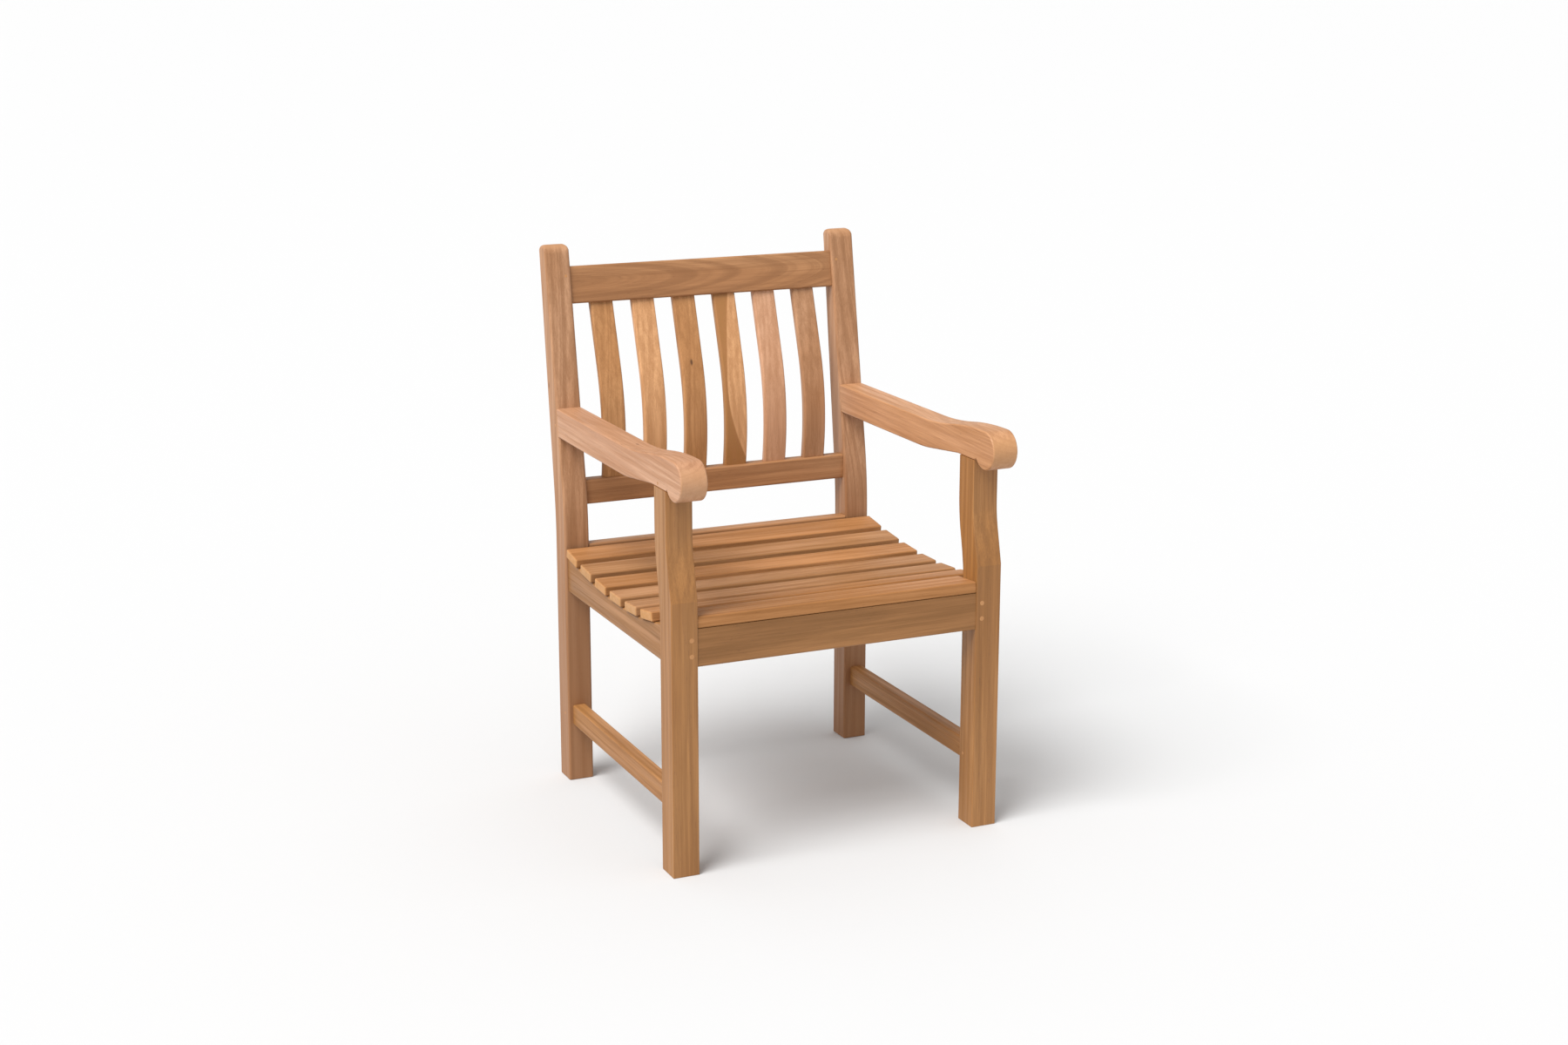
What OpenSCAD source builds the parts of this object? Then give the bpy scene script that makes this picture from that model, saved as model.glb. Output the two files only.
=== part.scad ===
// One-seat teak garden armchair: two front legs, two raked rear posts, scrolled arms, a dished
// slatted seat and a back of bent slats. Mortise-and-tenon joints held by wooden pegs.
// Left and right are as seen by someone facing the front of the chair: left is -X.
// Lengths along the chair start at the front face of the front legs and run backwards.

/* [Overall] */
// Width over the legs
chair_w = 600; // [540:1:720]
// Front face of the front legs to the front face of the rear posts, at the floor
base_depth = 504; // [460:1:600]
// Height of the rear posts
chair_h = 965; // [880:1:1060]
// Height of the front edge of the seat
seat_h = 440; // [420:1:470]
// Height of the arms' underside above the seat, where they sit on the front legs
arm_over_seat = 206; // [175:1:240]

/* [Legs and posts] */
// Thickness of legs, posts and arms across the chair
leg_w = 46.4; // [42:0.1:58]
// Depth of the front legs
front_leg_d = 49.5; // [46:0.1:60]
// Depth of the rear posts at the floor
rear_leg_d = 49.5; // [46:0.1:60]
// How far the upper front leg steps back
leg_sweep = 19.5; // [12:0.5:26]
// Height above the seat of the crease where the front leg starts to sweep back
crease_over_seat = 26; // [15:1:40]
// Rake of the front face of the rear posts, in degrees
rake = 9.6; // [6:0.1:12]
// Rake of the back face of the rear posts, in degrees
back_rake = 7.2; // [5:0.1:9]
// How far below the seat's front edge the rear posts start to bend
bend_drop = 0; // [-10:1:20]
// Radius of the bend in the rear posts
bend_r = 750; // [500:10:900]
// Rounding of the rear posts' top at the front
post_top_r = 18; // [4:1:20]
// Rounding of the rear posts' top at the back
post_back_r = 12; // [4:1:12]

/* [Arms] */
// Thickness of the arms behind the scroll
arm_t = 51; // [40:1:60]
// Rise of the arm's top towards the scroll
arm_rise = 18; // [8:1:24]
// Rise of the arm's underside towards the front leg
arm_under_rise = 13.5; // [6:0.5:18]
// Radius of the scroll at the front of the arm
scroll_r = 33; // [28:1:38]
// How far the scroll stands out in front of the front leg
scroll_out = 46; // [40:1:60]
// Length of the S-shaped sweep on top of the arm
arm_sweep_l = 215; // [160:1:260]

/* [Seat] */
// Height from the seat rails' underside to the seat's front edge
rail_d = 84.5; // [65:0.5:100]
// Thickness of the seat rails
rail_t = 26; // [22:1:30]
// How far the side rails' outer faces stand in from the legs'
side_rail_inset = 5; // [2:0.5:8]
// How far the front rail's face stands in from the legs'
front_rail_inset = 1.5; // [0:0.5:6]
// Thickness of the seat slats
slat_t = 17; // [14:0.5:20]
// Width of the seat slats
slat_w = 53; // [48:0.5:58]
// Gap between the front seat slat and the next one
front_slat_gap = 17.2; // [8:0.1:25]
// Thickness of the front seat slat
front_slat_t = 20; // [16:0.5:24]
// Width of the front seat slat
front_slat_w = 66; // [55:1:72]
// Slope of the front seat slat, in degrees
front_slat_slope = 4.8; // [0:0.1:8]
// Depth of the seat's dish below its front edge
dish = 23.5; // [10:0.5:30]
// Lowest line of the dish, behind the front face of the front legs
dish_y = 245; // [200:1:300]
// Rise of the dish from its lowest line to the front legs
dish_front_rise = 22; // [12:0.1:26]
// Rise of the dish from its lowest line to the rear posts
dish_rear_rise = 21.8; // [12:0.1:26]

/* [Stretchers] */
// Height of the stretchers' underside
stretcher_h = 105; // [80:1:160]
// Height of the stretchers' section
stretcher_d = 38; // [30:1:50]
// Thickness of the stretchers
stretcher_t = 25; // [20:1:30]
// How far the stretchers' outer faces stand in from the legs'
stretcher_inset = 9; // [6:0.5:12]

/* [Back] */
// Thickness of the two back rails
back_rail_t = 26; // [22:1:27]
// How far the back rails stand in from the posts' front faces
back_rail_inset = 5; // [2:0.5:6]
// Height of the top back rail's section
top_rail_d = 66.5; // [50:0.5:75]
// From the top of the posts down to the front lower edge of the top back rail
top_rail_drop = 103; // [72:1:125]
// Height of the lower back rail's section
lower_rail_d = 45; // [35:1:55]
// Height of the lower back rail's underside above the seat
lower_rail_over_seat = 69; // [50:1:100]
// Width of the back slats
back_slat_w = 43; // [36:0.5:50]
// Thickness of the back slats
back_slat_t = 14; // [10:0.5:16]
// Radius of the lumbar curve on the back slats' front
lumbar_r = 400; // [300:10:600]
// Forward lean of the back slats below the lumbar curve, in degrees
lumbar_lean = 7; // [3:0.5:10]
// Backward lean of the back slats above the lumbar curve, in degrees
upper_lean = 18.5; // [16:0.5:20]

/* [Joinery] */
// Thickness of the tenons on the rails, stretchers and arms
tenon_t = 12; // [8:0.5:14]
// Thickness of the tenons on the back slats
slat_tenon_t = 8; // [6:0.5:9]
// Shoulder above and below each tenon
shoulder = 7; // [4:0.5:9]
// Depth of the tenons on the front and side seat rails
tenon_l = 25; // [18:0.5:26]
// Depth of the short tenons on the back rails
short_tenon_l = 20; // [14:0.5:21]
// Wood left between the rear and side seat rails' tenons inside a rear post
tenon_wall = 2.4; // [1:0.1:6]
// Depth of the tenons on the back slats
slat_tenon_l = 12; // [8:0.5:18]
// Clearance around each tenon in its mortise
fit = 0.2; // [0.1:0.05:0.4]
// Diameter of the pegs through the seat rails' joints
peg_dia = 8; // [6:0.5:9]
// How far the front and rear rails' pegs reach past their tenons
peg_past = 9.5; // [2:0.5:12]
// How far the side rails' pegs reach into their tenons
side_peg_bite = 7.6; // [4:0.1:11]
// Diameter of the pins through the joints of the arms, stretchers and back rails
pin_dia = 5; // [4:0.5:6]
// How far the pins reach into their tenons
pin_bite = 10; // [5:0.5:11]
// Diameter of the dowels under the seat slats
dowel_dia = 8; // [6:0.5:9]
// Length of the dowels under the seat slats
dowel_l = 28; // [20:1:34]
// Clearance around each peg, pin and dowel
peg_fit = 0.1; // [0.05:0.05:0.2]

/* [Hidden] */
$fn = 64;
// Teak colours: face grain, paler slats and end-grain pegs
teak = [0.76, 0.56, 0.38];
teak_light = [0.82, 0.63, 0.46];
teak_peg = [0.80, 0.62, 0.42];
teak_hidden = [0.70, 0.50, 0.30];

// Seat slats behind the front one, and back slats
slat_n = 6;
back_slat_n = 6;
half_w = chair_w / 2;
leg_in = half_w - leg_w;
rail_span = chair_w - 2 * leg_w;
rear_face = base_depth;
rear_back = base_depth + rear_leg_d;
arm_seat_h = seat_h + arm_over_seat;
crease_h = seat_h + crease_over_seat;
bend_h = seat_h - bend_drop;
rail_bottom_h = seat_h - rail_d;
top_rail_h = chair_h - top_rail_drop;
lower_rail_h = seat_h + lower_rail_over_seat;

// Curves are drawn in steps that turn and run no further than this
curve_turn = 6;
curve_run = 26;
tiny = 0.0001;
// Point on an arc about c, at radius r and angle a
function on_arc(c, r, a) = c + r * [cos(a), sin(a)];
function unit(v) = v / norm(v);
function cross2(a, b) = a[0] * b[1] - a[1] * b[0];
// Round the corner b of the path a-b-c with radius r
function round_corner(a, b, c, r) =
    let (
        u = unit(a - b),
        v = unit(c - b),
        half_angle = acos(max(-1, min(1, u * v))) / 2,
        centre = b + unit(u + v) * r / sin(half_angle),
        from = b + u * r / tan(half_angle) - centre,
        start = atan2(from[1], from[0]),
        turn = (180 - 2 * half_angle) * (cross2(u, v) < 0 ? 1 : -1),
        run = r * abs(turn) * PI / 180,
        steps = max(2, ceil(abs(turn) / curve_turn), ceil(run / curve_run))
    )
    [for (i = [0:steps]) on_arc(centre, r, start + turn * i / steps)];
// Outline through corners [y, z, radius], sharp where the radius is 0
function rounded(path) =
    let (n = len(path))
    [for (i = [0:n - 1])
        let (
            here = path[i],
            before = path[(i + n - 1) % n],
            after = path[(i + 1) % n],
            b = [here[0], here[1]]
        )
        each here[2] == 0 ? [b] : round_corner(
            [before[0], before[1]],
            b,
            [after[0], after[1]],
            here[2]
        )];

// Rear post faces at a height, above and below the bend
function corner_z(angle) = bend_h + bend_r * tan(angle / 2);
function post_front(z) = rear_face + max(0, z - corner_z(rake)) * tan(rake);
function post_back(z) = rear_back + max(0, z - corner_z(back_rake)) * tan(back_rake);
post_path = [
    [rear_face, 0, 0],
    [rear_face, corner_z(rake), bend_r],
    [post_front(chair_h), chair_h, post_top_r],
    [post_back(chair_h), chair_h, post_back_r],
    [rear_back, corner_z(back_rake), bend_r],
    [rear_back, 0, 0]
];
post_outline = rounded(post_path);

// Seat: height of the side rails' dished top edge
dish_low = seat_h - dish - slat_t;
function arc_r(span, rise) = (pow(span, 2) + pow(rise, 2)) / (2 * rise);
dish_front_r = arc_r(dish_y - front_leg_d, dish_front_rise);
dish_rear_r = arc_r(rear_face - dish_y, dish_rear_rise);
function dish_r(y) = y < dish_y ? dish_front_r : dish_rear_r;
function rail_top(y) = dish_low + dish_r(y) - sqrt(pow(dish_r(y), 2) - pow(y - dish_y, 2));

// Front leg: upright below the crease, then an S-shaped sweep back to the arm
crease_lean = 6;
crease_turn = 26;
front_sweep_rise = 84;
front_bend_r = [200, 180];
rear_sweep_rise = 84;
rear_bend_r = 320;
bend_clear = 1;
rear_sweep_lean = atan(leg_sweep / rear_sweep_rise);
rear_bend_h = rail_top(front_leg_d) + rear_bend_r * tan(rear_sweep_lean / 2) + bend_clear;
front_leg_outline = rounded([
    [0, 0, 0],
    [0, crease_h, 0],
    [crease_turn * tan(crease_lean), crease_h + crease_turn, front_bend_r[0]],
    [leg_sweep, crease_h + front_sweep_rise, front_bend_r[1]],
    [leg_sweep, arm_seat_h, 0],
    [leg_sweep + front_leg_d, arm_seat_h, 0],
    [leg_sweep + front_leg_d, rear_bend_h + rear_sweep_rise, rear_bend_r],
    [front_leg_d, rear_bend_h, rear_bend_r],
    [front_leg_d, 0, 0]
]);

// Arm: level behind, then an S-shaped rise to the scroll
arm_top_rear_h = arm_seat_h - arm_under_rise + arm_t;
arm_crest_h = arm_top_rear_h + arm_rise;
arm_post_top = post_front(arm_top_rear_h);
arm_post_bottom = post_front(arm_seat_h - arm_under_rise);
scroll_y = scroll_r - scroll_out;
scroll_z = arm_crest_h - scroll_r;
crest_l = 8;
sweep_end_y = scroll_y + crest_l;
sweep_r = arc_r(arm_sweep_l / 2, arm_rise / 2);
sweep_corner = sweep_r * tan(atan(arm_rise / 2 / (arm_sweep_l / 2)));
leg_rear_top = leg_sweep + front_leg_d;
// Underside: where it leaves the leg, the length of its slope, and its two bends
under_start = 10;
under_l = 130;
under_r = [60, 400];
// The scroll is drawn round from its crest to below its front
scroll_end = 300;
arm_close = 1;
arm_outline = concat(
    rounded([
        [arm_post_bottom, arm_seat_h - arm_under_rise, 0],
        [arm_post_top, arm_top_rear_h, 0],
        [sweep_end_y + arm_sweep_l - sweep_corner, arm_top_rear_h, sweep_r],
        [sweep_end_y + sweep_corner, arm_crest_h, sweep_r],
        [scroll_y, arm_crest_h, 0]
    ]),
    [for (a = [90 + curve_turn:curve_turn:scroll_end]) on_arc([scroll_y, scroll_z], scroll_r, a)],
    rounded([
        [leg_sweep, arm_seat_h, 0],
        [leg_rear_top, arm_seat_h, 0],
        [leg_rear_top + under_start, arm_seat_h, under_r[0]],
        [leg_rear_top + under_l, arm_seat_h - arm_under_rise, under_r[1]],
        [arm_post_bottom - arm_close, arm_seat_h - arm_under_rise, 0]
    ])
);

// The chair stands with the middle of its outline over the origin
front_most = -scroll_out;
back_most = max([for (p = post_outline) p[0]]);
origin_y = (front_most + back_most) / 2;

// Gap between the posts and the rearmost seat slat, and how far the rear rail stands in from the posts
slat_post_gap = 3.5;
rear_rail_inset = 0.5;
side_tenon_rise = 46;
front_slat_back = front_rail_inset + front_slat_w * cos(front_slat_slope);
slat_room = rear_face - slat_post_gap - slat_w - front_slat_back - front_slat_gap;
slat_pitch = slat_room / (slat_n - 1);
function slat_y(i) = rear_face - slat_post_gap - slat_w / 2 - (i - 1) * slat_pitch;
side_rail_x = half_w - side_rail_inset - rail_t;
side_tenon_x = half_w - side_rail_inset - rail_t / 2 - tenon_t / 2;
side_step = 14;
side_rail_outline = concat(
    [[front_leg_d, rail_bottom_h]],
    [[rear_face, rail_bottom_h]],
    [for (y = [rear_face:-side_step:front_leg_d + side_step]) [y, rail_top(y)]],
    [[front_leg_d, rail_top(front_leg_d)]]
);
front_rail_top = seat_h - front_slat_t;
front_rail_d = front_rail_top - rail_bottom_h;
front_rail_y = front_rail_inset;
rear_rail_y = rear_face + rear_rail_inset;
rear_rail_d = seat_h - rail_bottom_h;
side_tenon_top = rail_bottom_h + side_tenon_rise;
side_tenon_d = side_tenon_top - rail_bottom_h - shoulder;
rear_tenon_l = side_tenon_x - leg_in - tenon_wall;

// Stretchers
stretcher_x = half_w - stretcher_inset - stretcher_t;
stretcher_tenon_x = stretcher_x + (stretcher_t - tenon_t) / 2;

// Back rails and slats
top_rail_y = post_front(top_rail_h) + back_rail_inset;
lower_rail_y = post_front(lower_rail_h + lower_rail_d) + back_rail_inset;
slat_foot = [lower_rail_y + (back_rail_t - back_slat_t) / 2, lower_rail_h + lower_rail_d];
slat_head = [
    top_rail_y + ((back_rail_t - back_slat_t) / 2) / cos(rake),
    top_rail_h - (back_rail_t - back_slat_t) / 2 * sin(rake)
];
// Corner of the back slats' front line, where its two straight stretches would meet
lumbar_z = (
    slat_foot[0] - slat_head[0] + slat_foot[1] * tan(lumbar_lean) + slat_head[1] * tan(upper_lean)
) / (tan(lumbar_lean) + tan(upper_lean));
lumbar_y = slat_foot[0] - (lumbar_z - slat_foot[1]) * tan(lumbar_lean);
// Joints: how deep the shoulders of a tenon reach into a curved or raked face
joint_sink = 4;
rail_tenon_y = (back_rail_t - tenon_t) / 2;
arm_tenon_h = arm_seat_h - arm_under_rise + shoulder;
arm_tenon_d = arm_t - 2 * shoulder;
arm_tenon_l = 28;
arm_tenon_back = arm_post_top + arm_tenon_l;
leg_tenon_l = 32;
// Pegs and pins: shares of each tenon's depth and of each rail's height
front_peg_in = 0.44;
front_peg_up = [0.3, 0.72];
rear_peg_up = [0.2, 0.72];
stretcher_pin_in = 0.7;
arm_pin_up = 0.35;
top_pin_up = 0.74;
// Arm's pins: behind the post's front face, and from the leg's front face and top
arm_pin_in = 12.5;
leg_pin_at = [32.5, 7];
front_peg_x = leg_in + tenon_l * front_peg_in;
front_peg_h = [for (up = front_peg_up) rail_bottom_h + front_rail_d * up];
rear_peg_x = leg_in + rear_tenon_l / 2;
rear_peg_h = [for (up = rear_peg_up) rail_bottom_h + rear_rail_d * up];
side_peg_h = rail_bottom_h + shoulder + side_tenon_d / 2;
stretcher_pin_h = stretcher_h + stretcher_d / 2;
leg_pin_y = leg_sweep + leg_pin_at[0];
leg_pin_h = arm_seat_h + leg_pin_at[1];
arm_pin_h = arm_tenon_h + arm_tenon_d * arm_pin_up;
arm_pin_y = post_front(arm_pin_h) + arm_pin_in;
back_pin_x = leg_in + short_tenon_l / 2;
front_peg_l = front_rail_inset + (rail_t + tenon_t) / 2 + peg_past;
rear_peg_l = rear_rail_inset + (rail_t + tenon_t) / 2 + peg_past;
side_peg_l = side_tenon_x - leg_in + side_peg_bite;
arm_pin_l = (leg_w - tenon_t) / 2 + pin_bite;
stretcher_front_pin_l = stretcher_tenon_x - leg_in + pin_bite;
stretcher_rear_pin_l = half_w - stretcher_tenon_x - tenon_t + pin_bite;
top_pin_l = back_rail_inset * cos(rake) + rail_tenon_y + pin_bite;
lower_tenon_back = lower_rail_y + rail_tenon_y + tenon_t;
lower_pin_h = lower_rail_h + lower_rail_d / 2;
lower_pin_l = post_back(lower_pin_h) - lower_tenon_back + pin_bite;
// Dowels: how far they reach into the slats, and where the front slat's outer ones sit along it
slat_dowel_up = 0.65;
front_dowel_up = 0.5;
front_dowel_out = 0.36;
back_slat_gap = (rail_span - back_slat_n * back_slat_w) / (back_slat_n + 1);
back_slat_pitch = back_slat_w + back_slat_gap;
function back_slat_x(i) = (i - (back_slat_n + 1) / 2) * back_slat_pitch;

// Back slats' construction: how far the board's line is drawn past the rails' faces, the tenons'
// side cheeks, and how far the space between the rails is drawn in front of and behind the posts
slat_overrun = 40;
slat_cheek = 5;
back_view_margin = 60;
slat_end_gap = 0.3;

// Place a shape drawn in the chair's side view, from x0 over a width w
module side_view(x0, w) {
    translate([x0, -origin_y, 0])
        rotate([90, 0, 90])
            linear_extrude(w)
                children();
}

// Box with its low corner at a point, in the carpenter's frame
module block(corner, size) {
    translate([corner[0], corner[1] - origin_y, corner[2]])
        cube(size);
}

// Round peg along a direction, from a start point
module peg(start, angles, dia, length) {
    translate([start[0], start[1] - origin_y, start[2]])
        rotate(angles)
            cylinder(d = dia, h = length);
}

// Copy a left-hand piece to the chosen side: -1 is left and 1 is right
module on_side(side) {
    if (side < 0)
        children();
    else
        mirror([1, 0, 0])
            children();
}

// --- Tenons, also cut as mortises with a clearance around them ---

// Front seat rail's tenon in the left front leg
module front_rail_tenon(gap) {
    y = front_rail_y + (rail_t - tenon_t) / 2;
    block(
        [-leg_in - tenon_l - gap, y - gap, rail_bottom_h + shoulder - gap],
        [tenon_l + 2 * gap, tenon_t + 2 * gap, front_rail_d - 2 * shoulder + 2 * gap]
    );
}

// Rear seat rail's tenon in the left rear post
module rear_rail_tenon(gap) {
    y = rear_rail_y + (rail_t - tenon_t) / 2;
    block(
        [-leg_in - rear_tenon_l - gap, y - gap, rail_bottom_h + shoulder - gap],
        [rear_tenon_l + 2 * gap, tenon_t + 2 * gap, rear_rail_d - 2 * shoulder + 2 * gap]
    );
}

// Left side seat rail's tenons in the front leg and the rear post
module side_rail_tenons(gap) {
    for (y = [front_leg_d - tenon_l, rear_face])
        block(
            [-side_tenon_x - tenon_t - gap, y - gap, rail_bottom_h + shoulder - gap],
            [tenon_t + 2 * gap, tenon_l + 2 * gap, side_tenon_d + 2 * gap]
        );
}

// Left stretcher's tenons in the front leg and the rear post
module stretcher_tenons(gap) {
    for (y = [front_leg_d - tenon_l, rear_face])
        block(
            [-stretcher_tenon_x - tenon_t - gap, y - gap, stretcher_h + shoulder - gap],
            [tenon_t + 2 * gap, tenon_l + 2 * gap, stretcher_d - 2 * shoulder + 2 * gap]
        );
}

// Place children on the raked front lower edge of the top back rail
module on_top_rail() {
    translate([0, top_rail_y - origin_y, top_rail_h])
        rotate([-rake, 0, 0])
            children();
}

// Top back rail's tenon in the left rear post
module top_rail_tenon(gap) {
    on_top_rail()
        translate([-leg_in - short_tenon_l - gap, rail_tenon_y - gap, shoulder - gap])
            cube([short_tenon_l + 2 * gap, tenon_t + 2 * gap, top_rail_d - 2 * shoulder + 2 * gap]);
}

// Lower back rail's tenon in the left rear post
module lower_rail_tenon(gap) {
    block(
        [-leg_in - short_tenon_l - gap, lower_rail_y + rail_tenon_y - gap, lower_rail_h + shoulder - gap],
        [short_tenon_l + 2 * gap, tenon_t + 2 * gap, lower_rail_d - 2 * shoulder + 2 * gap]
    );
}

// Arm's tenon in the left rear post
module arm_tenon(gap) {
    block(
        [-half_w + (leg_w - tenon_t) / 2 - gap, arm_post_bottom - gap, arm_tenon_h - gap],
        [tenon_t + 2 * gap, arm_tenon_back - arm_post_bottom + 2 * gap, arm_tenon_d + 2 * gap]
    );
}

// Front leg's tenon in the left arm
module leg_tenon(gap) {
    block(
        [-half_w + (leg_w - tenon_t) / 2 - gap, leg_sweep + shoulder - gap, arm_seat_h - joint_sink],
        [tenon_t + 2 * gap, front_leg_d - 2 * shoulder + 2 * gap, leg_tenon_l + joint_sink + gap]
    );
}

// --- Pegs and pins, also drilled as holes with a clearance around them ---

// Pegs of the left front leg: two through the front rail's tenon, and one for the side rail
module front_leg_pegs(gap) {
    for (z = front_peg_h)
        peg([-front_peg_x, -gap, z], [-90, 0, 0], peg_dia + 2 * gap, front_peg_l + 2 * gap);
    peg(
        [-leg_in + gap, front_leg_d - tenon_l / 2, side_peg_h],
        [0, -90, 0],
        peg_dia + 2 * gap,
        side_peg_l + 2 * gap
    );
}

// Pegs of the left rear post: two through the rear rail's tenon, and one for the side rail
module rear_post_pegs(gap) {
    for (z = rear_peg_h)
        peg([-rear_peg_x, rear_face - gap, z], [-90, 0, 0], peg_dia + 2 * gap, rear_peg_l + 2 * gap);
    peg(
        [-leg_in + gap, rear_face + tenon_l / 2, side_peg_h],
        [0, -90, 0],
        peg_dia + 2 * gap,
        side_peg_l + 2 * gap
    );
}

// Pins of the left front leg: one through the arm and the leg's tenon, and one for the stretcher
module front_leg_pins(gap) {
    peg(
        [-half_w - gap, leg_pin_y, leg_pin_h],
        [0, 90, 0],
        pin_dia + 2 * gap,
        arm_pin_l + 2 * gap
    );
    peg(
        [-leg_in + gap, front_leg_d - tenon_l / 2, stretcher_pin_h],
        [0, -90, 0],
        pin_dia + 2 * gap,
        stretcher_front_pin_l + 2 * gap
    );
}

// Pins of the left rear post: one each for the arm and the stretcher, one from the front for the top
// back rail, and one from behind for the lower back rail
module rear_post_pins(gap) {
    arm_pin = [arm_pin_y, arm_pin_h, arm_pin_l];
    stretcher_pin = [rear_face + tenon_l * stretcher_pin_in, stretcher_pin_h, stretcher_rear_pin_l];
    for (at = [arm_pin, stretcher_pin])
        peg([-half_w - gap, at[0], at[1]], [0, 90, 0], pin_dia + 2 * gap, at[2] + 2 * gap);
    on_top_rail()
        translate([-back_pin_x, -back_rail_inset * cos(rake) - gap, top_rail_d * top_pin_up])
            rotate([-90, 0, 0])
                cylinder(d = pin_dia + 2 * gap, h = top_pin_l + 2 * gap);
    peg(
        [-back_pin_x, post_back(lower_pin_h) + gap, lower_pin_h],
        [90 - back_rake, 0, 0],
        pin_dia + 2 * gap,
        lower_pin_l + 2 * gap
    );
}

// --- Pieces ---

module front_leg(side) {
    color(teak)
        on_side(side)
            difference() {
                union() {
                    side_view(-half_w, leg_w)
                        polygon(front_leg_outline);
                    leg_tenon(0);
                }
                front_rail_tenon(fit);
                side_rail_tenons(fit);
                stretcher_tenons(fit);
                front_leg_pegs(peg_fit);
                front_leg_pins(peg_fit);
            }
}

module rear_post(side) {
    color(teak)
        on_side(side)
            difference() {
                side_view(-half_w, leg_w)
                    polygon(post_outline);
                rear_rail_tenon(fit);
                side_rail_tenons(fit);
                stretcher_tenons(fit);
                arm_tenon(fit);
                top_rail_tenon(fit);
                lower_rail_tenon(fit);
                rear_post_pegs(peg_fit);
                rear_post_pins(peg_fit);
            }
}

module arm(side) {
    color(teak)
        on_side(side)
            difference() {
                union() {
                    side_view(-half_w, leg_w)
                        polygon(arm_outline);
                    arm_tenon(0);
                }
                leg_tenon(fit);
                front_leg_pins(peg_fit);
                rear_post_pins(peg_fit);
            }
}

module front_seat_rail() {
    color(teak)
        difference() {
            union() {
                side_view(-leg_in, rail_span)
                    polygon([
                        [front_rail_y, rail_bottom_h],
                        [front_rail_y + rail_t, rail_bottom_h],
                        [front_rail_y + rail_t, front_rail_top - rail_t * tan(front_slat_slope)],
                        [front_rail_y, front_rail_top]
                    ]);
                for (side = [-1, 1])
                    on_side(side)
                        front_rail_tenon(0);
            }
            for (side = [-1, 1])
                on_side(side)
                    front_leg_pegs(peg_fit);
            front_slat_dowels(peg_fit);
        }
}

module rear_seat_rail() {
    color(teak)
        difference() {
            union() {
                block([-leg_in, rear_rail_y, rail_bottom_h], [rail_span, rail_t, rear_rail_d]);
                for (side = [-1, 1])
                    on_side(side)
                        rear_rail_tenon(0);
            }
            for (side = [-1, 1])
                on_side(side)
                    rear_post_pegs(peg_fit);
        }
}

module side_seat_rail(side) {
    color(teak)
        on_side(side)
            difference() {
                union() {
                    side_view(-side_rail_x - rail_t, rail_t)
                        polygon(side_rail_outline);
                    side_rail_tenons(0);
                }
                front_leg_pegs(peg_fit);
                rear_post_pegs(peg_fit);
                side_slat_dowels(peg_fit);
            }
}

module side_stretcher(side) {
    color(teak)
        on_side(side)
            difference() {
                union() {
                    block(
                        [-stretcher_x - stretcher_t, front_leg_d, stretcher_h],
                        [stretcher_t, rear_face - front_leg_d, stretcher_d]
                    );
                    stretcher_tenons(0);
                }
                front_leg_pins(peg_fit);
                rear_post_pins(peg_fit);
            }
}

module top_back_rail() {
    color(teak)
        difference() {
            union() {
                on_top_rail()
                    translate([-leg_in, 0, 0])
                        cube([rail_span, back_rail_t, top_rail_d]);
                for (side = [-1, 1])
                    on_side(side)
                        top_rail_tenon(0);
            }
            for (side = [-1, 1])
                on_side(side)
                    rear_post_pins(peg_fit);
            for (i = [1:back_slat_n])
                back_slat_tenons(i, fit);
        }
}

module lower_back_rail() {
    color(teak)
        difference() {
            union() {
                block([-leg_in, lower_rail_y, lower_rail_h], [rail_span, back_rail_t, lower_rail_d]);
                for (side = [-1, 1])
                    on_side(side)
                        lower_rail_tenon(0);
            }
            for (side = [-1, 1])
                on_side(side)
                    rear_post_pins(peg_fit);
            for (i = [1:back_slat_n])
                back_slat_tenons(i, fit);
        }
}

// Line parallel to the back slats' front line, further back by an offset: foot, corner and head
function slat_line(offset) =
    let (
        low = [cos(lumbar_lean), sin(lumbar_lean)] * offset,
        high = [cos(upper_lean), -sin(upper_lean)] * offset,
        corner = (low + high) / (1 + low * high / max(pow(offset, 2), tiny)),
        foot = slat_foot + low + slat_overrun * [sin(lumbar_lean), -cos(lumbar_lean)],
        head = slat_head + high + slat_overrun * [sin(upper_lean), cos(upper_lean)]
    )
    [foot, [lumbar_y, lumbar_z] + corner, head];

// Side view of a back slat's board between two depths, running on past both rails' faces
module slat_strip(front, back) {
    near = slat_line(front);
    far = slat_line(back);
    polygon(rounded([
        [near[0][0], near[0][1], 0],
        [near[1][0], near[1][1], lumbar_r - front],
        [near[2][0], near[2][1], 0],
        [far[2][0], far[2][1], 0],
        [far[1][0], far[1][1], lumbar_r - back],
        [far[0][0], far[0][1], 0]
    ]));
}

// Side view of the space between the two back rails, reaching into both by a depth
module between_back_rails(depth) {
    low = lower_rail_h + lower_rail_d - depth;
    front = rear_face - back_view_margin;
    back = rear_back + 2 * back_view_margin;
    polygon([
        [front, low],
        [back, low],
        [back, top_rail_h + depth - (back - top_rail_y) * tan(rake)],
        [front, top_rail_h + depth - (front - top_rail_y) * tan(rake)]
    ]);
}

// Tenons at both ends of a back slat
module back_slat_tenons(i, gap) {
    w = back_slat_w - 2 * slat_cheek + 2 * gap;
    side_view(back_slat_x(i) - w / 2, w)
        intersection() {
            slat_strip((back_slat_t - slat_tenon_t) / 2 - gap, (back_slat_t + slat_tenon_t) / 2 + gap);
            between_back_rails(slat_tenon_l + gap);
        }
}

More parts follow.
